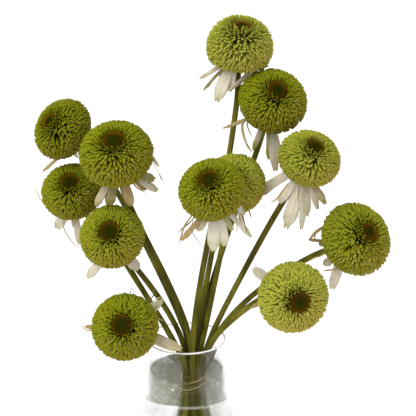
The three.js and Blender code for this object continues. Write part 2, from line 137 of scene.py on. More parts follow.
class Shader:
    """One material's node tree, with the Principled shader that ends it."""

    def __init__(self, name: str) -> None:
        """Starts an empty material.

        Args:
            name: The material's name.
        """
        self.material = bpy.data.materials.new(name)
        self.material.use_nodes = True
        self.tree = self.material.node_tree
        self.tree.nodes.clear()
        self.output = self.tree.nodes.new("ShaderNodeOutputMaterial")
        self.principled = self.tree.nodes.new("ShaderNodeBsdfPrincipled")
        self.tree.links.new(self.principled.outputs["BSDF"], self.output.inputs["Surface"])
        self._place: bpy.types.NodeSocket | None = None

    def node(self, kind: str, settings: dict | None = None,
             sockets: dict | None = None) -> bpy.types.Node:
        """Adds one node.

        Args:
            kind: The node's type.
            settings: Its settings, which are set first; "stops" are a ramp's places and colours.
            sockets: A value or a link for each input, by name or number.

        Returns:
            The new node.
        """
        made = self.tree.nodes.new(kind)
        for name, setting in (settings or {}).items():
            if name == "stops":
                self._stops(made.color_ramp, setting)
            else:
                setattr(made, name, setting)
        for name, given in (sockets or {}).items():
            self.feed(made.inputs[name], given)
        return made

    @staticmethod
    def _stops(ramp: bpy.types.ColorRamp, stops: Sequence[tuple[float, Colour]]) -> None:
        """Sets a ramp's stops.

        Args:
            ramp: The ramp.
            stops: Their places and colours, in order.
        """
        ramp.elements[0].position = stops[0][0]
        ramp.elements[1].position = stops[-1][0]
        for place, _ in stops[1:-1]:
            ramp.elements.new(place)
        for element, (_, colour) in zip(ramp.elements, stops):
            element.color = (*colour, 1)

    def feed(self, socket: bpy.types.NodeSocket, given: object) -> None:
        """Links a value to a socket, or sets the socket's own value.

        Args:
            socket: The socket.
            given: A Value, a socket, a colour or a plain value.
        """
        if isinstance(given, Value):
            self.tree.links.new(given.socket, socket)
        elif isinstance(given, bpy.types.NodeSocket):
            self.tree.links.new(given, socket)
        elif isinstance(given, (tuple, list)) and socket.type == "RGBA":
            socket.default_value = (*given, 1)
        else:
            socket.default_value = given

    def place(self) -> bpy.types.NodeSocket:
        """Gives the Object coordinates, which all of a material's textures share.

        Returns:
            The coordinates' socket.
        """
        if self._place is None:
            self._place = self.node("ShaderNodeTexCoord").outputs["Object"]
        return self._place

    def axis(self, letter: str) -> Value:
        """Gives one Object coordinate, in metres, by its letter."""
        parts = self.node("ShaderNodeSeparateXYZ", None, {0: self.place()})
        return Value(self, parts.outputs[letter])

    def attribute(self, name: str) -> Value:
        """Gives a number that the mesh carries at each point, by its name."""
        made = self.node("ShaderNodeAttribute", {"attribute_name": name})
        return Value(self, made.outputs["Fac"])

    def grain(self, scale: float, detail: float = 2, stretch: Vector | None = None) -> Value:
        """Gives noise over the Object coordinates.

        Args:
            scale: Cells in a metre.
            detail: How many finer layers it has.
            stretch: How much each axis is scaled first.

        Returns:
            The noise, from 0 to 1.
        """
        where = self.place()
        if stretch is not None:
            mapped = self.node("ShaderNodeMapping", None, {"Vector": where, "Scale": stretch})
            where = mapped.outputs[0]
        noise_sockets = {"Vector": where, "Scale": scale, "Detail": detail}
        return Value(self, self.node("ShaderNodeTexNoise", None, noise_sockets).outputs["Fac"])

    def ramp(self, place: Value, stops: Sequence[tuple[float, Colour]]) -> bpy.types.NodeSocket:
        """Gives a colour from a ramp.

        Args:
            place: Where on the ramp to look.
            stops: The ramp's places and colours.

        Returns:
            The colour's socket.
        """
        return self.node("ShaderNodeValToRGB", {"stops": stops}, {"Fac": place}).outputs["Color"]

    def mix(self, share: object, first: object, second: object,
            blend: str = "MIX") -> bpy.types.NodeSocket:
        """Mixes two colours.

        Args:
            share: How much of the second there is.
            first: A colour or its socket.
            second: A colour or its socket.
            blend: The Mix node's blend type.

        Returns:
            The mixed colour's socket.
        """
        settings = {"data_type": "RGBA", "blend_type": blend, "clamp_factor": True}
        made = self.node("ShaderNodeMix", settings, {"Factor": share})
        self.feed(made.inputs[6], first)
        self.feed(made.inputs[7], second)
        return made.outputs[2]

    def bump(self, height: Value, depth: float, strength: float) -> bpy.types.NodeSocket:
        """Makes a relief.

        Args:
            height: The height, from 0 to 1.
            depth: How many metres a height of 1 stands for.
            strength: How strongly it shows.

        Returns:
            The normal's socket.
        """
        sockets = {"Height": height, "Distance": depth, "Strength": strength}
        return self.node("ShaderNodeBump", None, sockets).outputs["Normal"]

    def blend(self, share: Value, sockets: dict) -> bpy.types.Material:
        """Mixes a second Principled shader into the first.

        Args:
            share: How much of the second there is.
            sockets: A value or a link for each of the second's inputs, by name.

        Returns:
            The finished material.
        """
        second = self.node("ShaderNodeBsdfPrincipled", None, sockets)
        mixed = self.node("ShaderNodeMixShader", None,
                          {0: share, 1: self.principled.outputs[0], 2: second.outputs[0]})
        self.tree.links.new(mixed.outputs[0], self.output.inputs["Surface"])
        return self.material

    def finish(self, **sockets: object) -> bpy.types.Material:
        """Sets the Principled shader's sockets.

        Args:
            **sockets: A value or a link for each, whose name has _ for a space.

        Returns:
            The finished material.
        """
        titles = {socket.name.lower(): socket for socket in self.principled.inputs}
        for name, given in sockets.items():
            self.feed(titles[name.replace("_", " ")], given)
        return self.material


@dataclass(frozen=True)
class FloretFinish:
    """The narrow florets' tissue: painted shade near their roots, lime or ochre at their tips.

    A grain is given in cells a metre, here and in the other finishes.
    """

    # root and shade are painted shade, darkest deep in the ball where the florets crowd.
    root: Colour = (0.004, 0.006, 0.0003)
    shade: Colour = (0.14, 0.155, 0.002)
    body: Colour = (0.2, 0.22, 0.003)
    tip: Colour = (0.27, 0.29, 0.012)
    warm_body: Colour = (0.22, 0.2, 0.002)
    warm_tip: Colour = (0.3, 0.26, 0.02)
    ochre: Colour = (0.3, 0.16, 0.012)
    pale: Colour = (0.5, 0.44, 0.24)
    browning: float = 0.75
    streaking: float = 0.3
    paling: float = 0.22
    unevenness: float = 0.18
    streak_grain: float = 260
    rough_grain: float = 500

    def tissue(self, shader: Shader, body: Colour, tip: Colour) -> bpy.types.NodeSocket:
        """Gives the colour along a floret, from the painted shade at its root to its tip."""
        stops = [(0.1, self.root), (0.3, self.shade), (0.55, body), (1, tip)]
        return shader.ramp(shader.attribute("along"), stops)

    def material(self) -> bpy.types.Material:
        """Makes the material.

        Returns:
            The finished material.
        """
        shader = Shader("floret tissue")
        along = shader.attribute("along")
        tint = shader.attribute("tint")
        warmth = shader.attribute("warmth")
        glow = shader.attribute("glow")
        green = self.tissue(shader, self.body, self.tip)
        warm = self.tissue(shader, self.warm_body, self.warm_tip)
        colour = shader.mix(warmth.between(0.35, 0.95), green, warm)
        browned = along.between(0.84, 1) * warmth.between(0.62, 0.95) * tint.between(0.45, 0.75)
        colour = shader.mix(self.browning * browned, colour, self.ochre)
        streak = along.between(0.55, 1) * warmth.between(0.1, 0.8)
        streak = streak * shader.grain(self.streak_grain).between(0.5, 0.72)
        colour = shader.mix(self.streaking * streak, colour, self.pale)
        # Painted light: florets of brightly lit blooms are made brighter and paler, dimly lit ones
        # darker.
        colour = shader.mix(self.paling * (glow - 1), colour, self.pale)
        level = (1 - self.unevenness + self.unevenness * tint) * glow
        grey = shader.node("ShaderNodeCombineColor", None, {0: level, 1: level, 2: level})
        colour = shader.mix(1.0, colour, grey.outputs[0], "MULTIPLY")
        rough = 0.6 + 0.25 * shader.grain(self.rough_grain, 1)
        return shader.finish(base_color=colour, roughness=rough, specular_ior_level=0.02)


@dataclass(frozen=True)
class ConeFinish:
    """The bristles of a cone: dark green in the middle, rust round the rim."""

    middle: Colour = (0.022, 0.03, 0.001)
    dark: Colour = (0.085, 0.056, 0.002)
    rust: Colour = (0.2, 0.085, 0.004)
    rim: Colour = (0.2, 0.14, 0.005)
    speckling: float = 0.3
    speckle_grain: float = 450
    rough_grain: float = 700

    def material(self) -> bpy.types.Material:
        """Makes the material.

        Returns:
            The finished material.
        """
        shader = Shader("cone bristles")
        speckle = self.speckling * (shader.grain(self.speckle_grain) - 0.5)
        stops = [(0.15, self.middle), (0.42, self.dark), (0.75, self.rust), (1, self.rim)]
        colour = shader.ramp(shader.attribute("level") + speckle, stops)
        rooted = 1 - shader.attribute("along").between(0.1, 0.75)
        colour = shader.mix(0.7 * rooted, colour, self.middle)
        rough = 0.75 + 0.2 * shader.grain(self.rough_grain, 1)
        return shader.finish(base_color=colour, roughness=rough, specular_ior_level=0.02)


@dataclass(frozen=True)
class PetalFinish:
    """The white petals: veined, greenish at their torn tips, some of them green, ochre or dark."""

    white: Colour = (0.7, 0.66, 0.54)
    grey: Colour = (0.4, 0.34, 0.24)
    green: Colour = (0.26, 0.27, 0.04)
    ochre: Colour = (0.3, 0.19, 0.025)
    brown: Colour = (0.14, 0.085, 0.02)
    dark: Colour = (0.035, 0.035, 0.006)
    vein_turns: float = 52
    vein_wander: float = 2
    vein_height: float = 0.00025
    wander_grain: float = 120
    blotch_grain: float = 170
    fade_grain: float = 260

    def material(self) -> bpy.types.Material:
        """Makes the material.

        Returns:
            The finished material.
        """
        shader = Shader("petal tissue")
        along = shader.attribute("along")
        across = shader.attribute("across")
        blotch = shader.grain(self.blotch_grain)
        wander = self.vein_wander * shader.grain(self.wander_grain, 1)
        veins = 0.5 + 0.5 * (across * self.vein_turns + wander).sine()
        greyed = 0.6 * veins * shader.grain(self.fade_grain) + 0.25 * blotch.between(0.5, 0.75)
        colour = shader.mix(greyed, self.white, self.grey)
        greened = 0.6 * along.between(0.72, 1.02) + 0.9 * shader.attribute("green")
        greened = greened * (0.55 + 0.45 * blotch.between(0.35, 0.65))
        colour = shader.mix(greened, colour, self.green)
        colour = shader.mix(0.9 * shader.attribute("aged"), colour, self.ochre)
        colour = shader.mix(0.95 * shader.attribute("dark"), colour, self.dark)
        edge = across.size().between(0.42, 0.5) * along.between(0.5, 1) * blotch.between(0.4, 0.6)
        colour = shader.mix(0.5 * edge, colour, self.brown)
        relief = shader.bump(veins * 0.7 + 0.3 * blotch, self.vein_height, 0.6)
        return shader.finish(base_color=colour, roughness=0.45 + 0.2 * blotch, normal=relief,
                             subsurface_weight=0.12, subsurface_scale=0.002,
                             specular_ior_level=0.25)


@dataclass(frozen=True)
class StemFinish:
    """The skin of the stems: olive, flecked along their length, with paler and purple patches."""

    dark: Colour = (0.06, 0.056, 0.004)
    olive: Colour = (0.15, 0.14, 0.01)
    light: Colour = (0.27, 0.25, 0.035)
    purple: Colour = (0.09, 0.06, 0.015)
    fleck_grain: float = 130
    patch_grain: float = 28
    blush_grain: float = 60

    def material(self) -> bpy.types.Material:
        """Makes the material.

        Returns:
            The finished material.
        """
        shader = Shader("stem skin")
        fleck = shader.grain(self.fleck_grain, 3, Vector((1, 1, 0.12)))
        patch = shader.grain(self.patch_grain, 2, Vector((1, 1, 0.5)))
        blush = shader.grain(self.blush_grain, 2, Vector((1, 1, 0.3)))
        colour = shader.mix(fleck.between(0.38, 0.68), self.dark, self.olive)
        colour = shader.mix(0.5 * patch.between(0.5, 0.75), colour, self.light)
        colour = shader.mix(0.5 * blush.between(0.58, 0.7), colour, self.purple)
        return shader.finish(base_color=colour, roughness=0.45 + 0.2 * fleck,
                             normal=shader.bump(fleck, 0.0002, 0.6), specular_ior_level=0.06)


@dataclass(frozen=True)
class BractFinish:
    """The bracts under a bloom: pale grey-green, darker where they are rooted."""

    root: Colour = (0.09, 0.1, 0.015)
    body: Colour = (0.25, 0.25, 0.08)
    tip: Colour = (0.4, 0.37, 0.19)
    blotch_grain: float = 300

    def material(self) -> bpy.types.Material:
        """Makes the material.

        Returns:
            The finished material.
        """
        shader = Shader("bract tissue")
        stops = [(0, self.root), (0.4, self.body), (1, self.tip)]
        blotch = shader.grain(self.blotch_grain)
        colour = shader.ramp(shader.attribute("along"), stops)
        colour = shader.mix(0.4 * blotch.between(0.4, 0.7), colour, self.root)
        return shader.finish(base_color=colour, roughness=0.45 + 0.2 * blotch,
                             specular_ior_level=0.15)


@dataclass(frozen=True)
class NeckFinish:
    """What glass and water share: the neck's painted reflection, clear in line with the stems."""

    foot_dip: float = 0.26
    stems_at: float = 0.006
    stems_reach: float = 0.009
    thickness: float = 0.6

    def rise(self, shader: Shader) -> Value:
        """Gives the height, less what the foot of the cloud dips towards the front and back."""
        return shader.axis("Z") - self.foot_dip * shader.axis("Y").size()

    def aside(self, shader: Shader, fade: float) -> Value:
        """Gives 0 in line with the stems and 1 beside them, past a fade of this many metres."""
        from_stems = (shader.axis("X") - self.stems_at).size()
        return from_stems.between(self.stems_reach, self.stems_reach + fade)


@dataclass(frozen=True)
class GlassFinish(NeckFinish):
    """Clear hand-blown glass, mottled where the neck is full, with white painted highlights."""

    clear: Colour = (0.985, 0.99, 0.985)
    edge: Colour = (0.86, 0.88, 0.85)
    white: Colour = (0.95, 0.95, 0.93)
    thinness: float = 0.16
    neck_foot: float = 0.103
    water_level: float = 0.1315
    lip: float = 0.1588
    mottle_grain: float = 150
    fleck_grain: float = 240
    cluster_grain: float = 70

    def material(self) -> bpy.types.Material:
        """Makes the material.

        Returns:
            The finished material.
        """
        shader = Shader("blown glass")
        height = shader.axis("Z")
        rise = self.rise(shader)
        full = rise.between(self.neck_foot, self.neck_foot + 0.003)
        full = full * (1 - height.between(self.water_level, self.water_level + 0.002))
        beside = full * self.aside(shader, 0.003)
        rim = rise.between(self.neck_foot - 0.002, self.neck_foot)
        rim = rim * (1 - rise.between(self.neck_foot, self.neck_foot + 0.0015))
        mottle = shader.grain(self.mottle_grain, 3).between(0.3, 0.75)
        # The base colour greys towards the grazing sides: painted shade for the dark reflections
        # along the edges.
        layer = shader.node("ShaderNodeLayerWeight", None, {"Blend": 0.35})
        facing = Value(shader, layer.outputs["Facing"])
        shader.finish(base_color=shader.mix(0.8 * facing ** 2.5, self.clear, self.edge),
                      roughness=0.02 + 0.05 * mottle * full,
                      normal=shader.bump(mottle * (0.15 + 0.85 * full), 0.0006, 0.5),
                      alpha=self.thinness + (self.thickness - self.thinness) * beside,
                      transmission_weight=1.0, ior=1.45, specular_tint=(0.4, 0.4, 0.4))
        # Painted highlights in white: flecks beside the stems in the full neck, a thin line on the
        # lip and a faint line at the foot of the neck.
        fleck = shader.grain(self.fleck_grain, 3).between(0.63, 0.72) * beside
        fleck = fleck * shader.grain(self.cluster_grain, 1).between(0.42, 0.6)
        lip = height.between(self.lip, self.lip + 0.0004)
        painted_highlight = {"Base Color": self.white, "Roughness": 0.25}
        return shader.blend(0.75 * fleck + 0.85 * lip + 0.15 * rim, painted_highlight)


@dataclass(frozen=True)
class WaterFinish(NeckFinish):
    """Still water, clear below, with a painted grey-olive reflection in the neck."""

    clear: Colour = (0.97, 0.97, 0.94)
    neck: Colour = (0.62, 0.62, 0.46)
    painted_dark: Colour = (0.045, 0.042, 0.012)
    light: Colour = (0.2, 0.19, 0.11)
    thinness: float = 0.22
    neck_foot: float = 0.1035
    mottle_grain: float = 120
    speck_grain: float = 480
    ripple_grain: float = 60

    def material(self) -> bpy.types.Material:
        """Makes the material.

        Returns:
            The finished material.
        """
        shader = Shader("water")
        mottle = 0.6 * shader.grain(self.mottle_grain, 4).between(0.35, 0.65)
        mottle = mottle + 0.4 * shader.grain(self.speck_grain).between(0.35, 0.7)
        height = self.rise(shader).between(self.neck_foot, self.neck_foot + 0.0015)
        aside = self.aside(shader, 0.0025)
        # In the neck the base colour takes the grey-olive tint of the painted reflection.
        shader.finish(base_color=shader.mix(height, self.clear, self.neck),
                      roughness=0.01 + 0.04 * mottle * height,
                      normal=shader.bump(shader.grain(self.ripple_grain), 0.0003, 0.3),
                      alpha=self.thinness + (self.thickness - self.thinness) * height * aside,
                      transmission_weight=1.0, ior=1.333, specular_tint=(0.35, 0.35, 0.3))
        # Painted reflection of grey-olive surroundings beside the stems, and painted shade over the
        # stems in line with them.
        painted_reflection_and_shade = height * (0.2 + aside * (0.48 + 0.3 * mottle))
        tone = shader.mix(mottle * aside, self.painted_dark, self.light)
        return shader.blend(painted_reflection_and_shade, {"Base Color": tone, "Roughness": 0.6})


@dataclass(frozen=True)
class TwineFinish:
    """Golden tan twine, with dark and pale fibres."""

    deep: Colour = (0.3, 0.17, 0.04)
    tan: Colour = (0.68, 0.47, 0.15)
    pale: Colour = (0.85, 0.68, 0.33)
    fibre_grain: float = 1800

    def material(self) -> bpy.types.Material:
        """Makes the material.

        Returns:
            The finished material.
        """
        shader = Shader("twine")
        fibre = shader.grain(self.fibre_grain, 3)
        colour = shader.ramp(fibre, [(0.25, self.deep), (0.5, self.tan), (0.8, self.pale)])
        return shader.finish(base_color=colour, roughness=0.75 + 0.2 * fibre,
                             normal=shader.bump(fibre, 0.0002, 0.7), sheen_weight=0.2)


@dataclass(frozen=True)
class LeafFinish:
    """The dark scrap of leaf, with paler veins."""

    dark: Colour = (0.022, 0.022, 0.004)
    green: Colour = (0.07, 0.07, 0.012)
    vein: Colour = (0.16, 0.16, 0.05)
    blotch_grain: float = 220
    rib_turns: float = 34
    rib_slant: float = 22

    def material(self) -> bpy.types.Material:
        """Makes the material.

        Returns:
            The finished material.
        """
        shader = Shader("leaf tissue")
        aside = shader.attribute("across").size()
        blotch = shader.grain(self.blotch_grain)
        turn = shader.attribute("along") * self.rib_turns + aside * self.rib_slant
        ribs = (0.5 + 0.5 * turn.sine()) ** 6
        colour = shader.mix(blotch, self.dark, self.green)
        colour = shader.mix(0.6 * ribs, colour, self.vein)
        colour = shader.mix(0.8 * (1 - aside.between(0.01, 0.06)), colour, self.vein)
        return shader.finish(base_color=colour, roughness=0.4 + 0.2 * blotch,
                             normal=shader.bump(ribs + blotch, 0.0003, 0.6),
                             specular_ior_level=0.4)


@dataclass(frozen=True)
class FloorFinish:
    """The plain pale floor."""

    pale: Colour = (0.93, 0.93, 0.93)
    paler: Colour = (0.95, 0.95, 0.95)

    def material(self) -> bpy.types.Material:
        """Makes the material.

        Returns:
            The finished material.
        """
        shader = Shader("floor")
        colour = shader.mix(0.2 * shader.grain(3, 1), self.pale, self.paler)
        return shader.finish(base_color=colour, roughness=0.9, specular_ior_level=0.1)


class Tip(Enum):
    """How a strap ends."""

    FORKED = 0.16
    POINTED = 0.0
    BLUNT = 0.05


class Shade(Enum):
    """A petal's shade: how green it is, how far it has turned ochre, and how dark it is."""

    WHITE = (0.0, 0.0, 0.0)
    CREAM = (0.15, 0.28, 0.0)
    GREEN = (0.9, 0.1, 0.0)
    OCHRE = (0.2, 0.85, 0.0)
    OLIVE = (0.8, 0.4, 0.45)
    DARK = (0.4, 0.2, 0.95)


@dataclass
class Pattern:
    """The points and faces of a shape that is modelled once and copied."""

    points: np.ndarray
    faces: list[tuple[int, ...]]

    @classmethod
    def taken_from(cls, piece: bpy.types.Object) -> "Pattern":
        """Takes the shape of an object, and removes the object.

        Args:
            piece: A mesh object.

        Returns:
            Its shape.
        """
        mesh = piece.data
        points = np.array([vertex.co for vertex in mesh.vertices])
        faces = [tuple(face.vertices) for face in mesh.polygons]
        bpy.data.objects.remove(piece)
        bpy.data.meshes.remove(mesh)
        return cls(points, faces)


@dataclass
class Runs:
    """Where copies of a pattern are laid: for each a curve, a side direction and its sizes."""

    root: np.ndarray
    bend: np.ndarray
    tip: np.ndarray
    side: np.ndarray
    width: np.ndarray
    depth: np.ndarray
    twist: np.ndarray

    @classmethod
    def single(cls, ends: Sequence[Sequence[float]], width: float, twist: float) -> "Runs":
        """Gives one run.

        Args:
            ends: Its root, bend, tip and side direction.
            width: Its width, which is also its depth.
            twist: How far it turns from root to tip.

        Returns:
            The run.
        """
        sizes = (width, width, twist)
        return cls(*(np.array([given], dtype=float) for given in (*ends, *sizes)))

    def only(self, chosen: np.ndarray) -> "Runs":
        """Keeps the chosen runs."""
        return Runs(*(values[chosen] for values in vars(self).values()))

    def laid(self, pattern: Pattern) -> np.ndarray:
        """Lays a copy of the pattern along each curve.

        Args:
            pattern: A shape a unit long in Y, from 0 to 1, and about a unit wide in X.

        Returns:
            The points of every copy, by copy, point and axis.
        """
        across, share, lift = (pattern.points[None, :, axis, None] for axis in range(3))
        ends = (self.root, self.bend, self.tip, self.side)
        root, bend, tip, side = (end[:, None, :] for end in ends)
        middle = (1 - share) ** 2 * root + 2 * share * (1 - share) * bend + share ** 2 * tip
        tangent = unit(2 * (1 - share) * (bend - root) + 2 * share * (tip - bend))
        side = unit(side - tangent * (tangent * side).sum(-1, keepdims=True))
        normal = np.cross(side, tangent)
        turn = self.twist[:, None, None] * share
        turned_side = np.cos(turn) * side + np.sin(turn) * normal
        turned_normal = np.cos(turn) * normal - np.sin(turn) * side
        width, depth = self.width[:, None, None], self.depth[:, None, None]
        return middle + turned_side * across * width + turned_normal * lift * depth


@dataclass
class Bundle:
    """The points, faces and marks of a piece that is put together from copies."""

    points: list[np.ndarray] = field(default_factory=list)
    faces: list[tuple[int, ...]] = field(default_factory=list)
    marks: dict[str, list[np.ndarray]] = field(default_factory=dict)

    def add(self, pattern: Pattern, copies: np.ndarray, **marks: object) -> None:
        """Adds copies of a pattern.

        Args:
            pattern: The pattern, whose faces each copy has.
            copies: The points of the copies, by copy, point and axis.
            **marks: Numbers for the material, which broadcast to a row for each copy.
        """
        first = sum(len(points) for points in self.points)
        count, size = copies.shape[:2]
        self.points.append(copies.reshape(-1, 3))
        self.faces += [tuple(first + copy * size + corner for corner in face)
                       for copy in range(count) for face in pattern.faces]
        for name, numbers in marks.items():
            row_for_each = np.broadcast_to(numbers, (count, size)).ravel()
            self.marks.setdefault(name, []).append(row_for_each)

    def piece(self, bloom: "Bloom", part: str) -> bpy.types.Object:
        """Makes the piece from what was added, in the bloom's own frame.

        Args:
            bloom: The bloom that it belongs to.
            part: What the piece is called, without the bloom's number.

        Returns:
            The finished piece.
        """
        marks = {name: np.concatenate(numbers) for name, numbers in self.marks.items()}
        points = bloom.placed(np.concatenate(self.points))
        return mesh_object(bloom.name(part), points, self.faces, marks)


def unit(vectors: np.ndarray) -> np.ndarray:
    """Gives each vector a length of one."""
    return vectors / np.maximum(np.linalg.norm(vectors, axis=-1, keepdims=True), 1e-12)


def outward(polar: np.ndarray, around: np.ndarray) -> np.ndarray:
    """Gives the directions at these angles from the crown and round it."""
    across = np.sin(polar)
    return np.stack([across * np.cos(around), across * np.sin(around), np.cos(polar)], -1)


def spokes(around: np.ndarray) -> np.ndarray:
    """Gives the level directions that point outwards at these angles."""
    return np.stack([np.cos(around), np.sin(around), 0 * around], -1)


def sideways(around: np.ndarray) -> np.ndarray:
    """Gives the level directions a quarter turn on from the spokes at these angles."""
    return np.stack([-np.sin(around), np.cos(around), 0 * around], -1)


def oval(corners: int, half_width: float, half_height: float) -> np.ndarray:
    """Gives the corners of an oval section."""
    angles = np.linspace(0, math.tau, corners, endpoint=False)
    return np.stack([half_width * np.cos(angles), half_height * np.sin(angles)], -1)


def smooth_path(points: np.ndarray, step: float) -> np.ndarray:
    """Draws a smooth curve through points.

    Args:
        points: The points.
        step: How far apart the curve's own points are.

    Returns:
        The curve's points, evenly spaced.
    """
    padded = np.vstack([2 * points[0] - points[1], points, 2 * points[-1] - points[-2]])
    fine = []
    for before, here, there, after in zip(padded, padded[1:], padded[2:], padded[3:]):
        for share in np.linspace(0, 1, 12, endpoint=False):
            fine.append(0.5 * (2 * here + (there - before) * share
                               + (2 * before - 5 * here + 4 * there - after) * share ** 2
                               + (3 * here - before - 3 * there + after) * share ** 3))
    fine = np.vstack([fine, points[-1:]])
    run = np.concatenate([[0], np.cumsum(np.linalg.norm(np.diff(fine, axis=0), axis=1))])
    places = np.linspace(0, run[-1], max(4, int(run[-1] / step)))
    return np.stack([np.interp(places, run, column) for column in fine.T], -1)


def deselect_all() -> None:
    """Leaves every object unselected, in object mode."""
    if bpy.context.mode != "OBJECT":
        bpy.ops.object.mode_set(mode="OBJECT")
    bpy.ops.object.select_all(action="DESELECT")


def select(*pieces: bpy.types.Object) -> None:
    """Selects some objects alone.

    Args:
        *pieces: The objects, of which the first is made active.
    """
    deselect_all()
    for piece in pieces:
        piece.select_set(True)
    bpy.context.view_layer.objects.active = pieces[0]


def edit(piece: bpy.types.Object) -> None:
    """Opens an object in edit mode, selected all over.

    Args:
        piece: The mesh object.
    """
    select(piece)
    bpy.ops.object.mode_set(mode="EDIT")
    bpy.ops.mesh.select_all(action="SELECT")


def close_up(merge: float) -> None:
    """Cleans the mesh in edit mode, turns its faces outwards and leaves the mode.

    Args:
        merge: How near to each other points are merged.
    """
    bpy.ops.mesh.select_all(action="SELECT")
    bpy.ops.mesh.remove_doubles(threshold=merge)
    bpy.ops.mesh.normals_make_consistent(inside=False)
    bpy.ops.object.mode_set(mode="OBJECT")


def linked(name: str, data: bpy.types.ID) -> bpy.types.Object:
    """Makes an object, and puts it in the scene.

    Args:
        name: The object's name.
        data: Its mesh, curve, light or camera.

    Returns:
        The new object.
    """
    item = bpy.data.objects.new(name, data)
    bpy.context.scene.collection.objects.link(item)
    return item


def mark(mesh: bpy.types.Mesh, name: str, numbers: np.ndarray) -> None:
    """Gives a mesh a number at each point, which its material reads by name."""
    layer = mesh.attributes.new(name, "FLOAT", "POINT")
    layer.data.foreach_set("value", np.asarray(numbers, dtype=np.float32))


def mesh_object(name: str, points: np.ndarray, faces: Sequence[Sequence[int]],
                marks: dict[str, np.ndarray]) -> bpy.types.Object:
    """Makes an object from points and faces.

    Args:
        name: The object's name.
        points: The points, in metres.
        faces: The faces, by the numbers of their points.
        marks: Numbers that the material reads, one for each point, by name.

    Returns:
        The new object.
    """
    mesh = bpy.data.meshes.new(name)
    mesh.from_pydata(points.tolist(), [], faces)
    for title, numbers in marks.items():
        mark(mesh, title, numbers)
    mesh.shade_smooth()
    mesh.update()
    return linked(name, mesh)


def thicken(piece: bpy.types.Object, thickness: float) -> None:
    """Gives a sheet its thickness.

    Args:
        piece: The sheet.
        thickness: How thick it becomes, in millimetres.
    """
    modifier = piece.modifiers.new("thickness", "SOLIDIFY")
    modifier.thickness = thickness * MM
    modifier.offset = 0
    with bpy.context.temp_override(object=piece, active_object=piece, selected_objects=[piece]):
        bpy.ops.object.modifier_apply(modifier=modifier.name)


def joined_piece(parts: list[bpy.types.Object]) -> bpy.types.Object:
    """Joins objects.

    Args:
        parts: The objects.

    Returns:
        The first of them, which holds them all.
    """
    select(*parts)
    bpy.ops.object.join()
    return parts[0]


def spun(name: str, profile: np.ndarray, steps: int, merge: float) -> bpy.types.Object:
    """Spins a profile round the upright axis.

    Args:
        name: The new object's name.
        profile: The radius and height of each point, from the axis back to the axis.
        steps: How many steps a full turn has.
        merge: How near to each other points are merged.

    Returns:
        The closed mesh object.
    """
    mesh = bpy.data.meshes.new(name)
    mesh.from_pydata([(radius, 0, height) for radius, height in profile],
                     [(index, index + 1) for index in range(len(profile) - 1)], [])
    piece = linked(name, mesh)
    edit(piece)
    bpy.ops.mesh.spin(steps=steps, angle=math.tau, center=(0, 0, 0), axis=(0, 0, 1))
    close_up(merge)
    piece.data.shade_smooth()
    return piece


def polyline(name: str, places: Iterable[Sequence[float]], widths: np.ndarray,
             closed: bool = False) -> bpy.types.Object:
    """Makes a curve object of straight lines.

    Args:
        name: The object's name.
        places: The points that it runs through, which lie in a plane where it is closed.
        widths: The radius at each point.
        closed: Whether it returns to its start.

    Returns:
        The curve object.
    """
    curve = bpy.data.curves.new(name, "CURVE")
    curve.dimensions = "2D" if closed else "3D"
    spline = curve.splines.new("POLY")
    spline.points.add(len(widths) - 1)
    for point, place, width in zip(spline.points, places, widths):
        point.co = (*place, 1)
        point.radius = width
    spline.use_cyclic_u = closed
    return linked(name, curve)


def swept(name: str, path: np.ndarray, section: np.ndarray, widths: np.ndarray) -> bpy.types.Object:
    """Sweeps a closed section along a path, with capped ends.

    Args:
        name: The new object's name.
        path: The path's points, in metres.
        section: The section's corners, in metres.
        widths: How much the section is scaled at each point of the path.

    Returns:
        The swept mesh object.
    """
    corners = [(across, up, 0) for across, up in section]
    outline = polyline("section", corners, np.ones(len(section)), closed=True)
    piece = polyline(name, path, widths)
    piece.data.bevel_mode = "OBJECT"
    piece.data.bevel_object = outline
    piece.data.use_fill_caps = True
    select(piece)
    bpy.ops.object.convert(target="MESH")
    bpy.data.objects.remove(outline)
    edit(piece)
    close_up(DOUBLES)
    piece.data.shade_smooth()
    return piece


def install(piece: bpy.types.Object, material: bpy.types.Material, slot: str, *nodes: str) -> None:
    """Dresses a finished piece, and has it ride on the part.

    Args:
        piece: The piece.
        material: Its material.
        slot: Not used.
        *nodes: The CAD nodes that it stands for.
    """
    piece.data.materials.clear()
    piece.data.materials.append(material)
    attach(piece, "root")
    if nodes:
        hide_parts(*nodes)
    log.info("%s: %d faces", piece.name, len(piece.data.polygons))


def model_ball(segments: int, rings: int) -> Pattern:
    """Models a ball with a radius of one, which is shaped later.

    Args:
        segments: How many segments it has round its axis.
        rings: How many rings it has from pole to pole.

    Returns:
        The ball.
    """
    deselect_all()
    bpy.ops.mesh.primitive_uv_sphere_add(segments=segments, ring_count=rings, radius=1)
    return Pattern.taken_from(bpy.context.object)


def model_blade(columns: int, rows: int) -> Pattern:
    """Models a flat blade, which is shaped later.

    Args:
        columns: How many columns of faces it has.
        rows: How many rows of faces it has.

    Returns:
        The blade, along +Y, a unit wide and long.
    """
    deselect_all()
    bpy.ops.mesh.primitive_grid_add(x_subdivisions=columns, y_subdivisions=rows, size=1)
    blade = Pattern.taken_from(bpy.context.object)
    blade.points[:, 1] += 0.5
    return blade


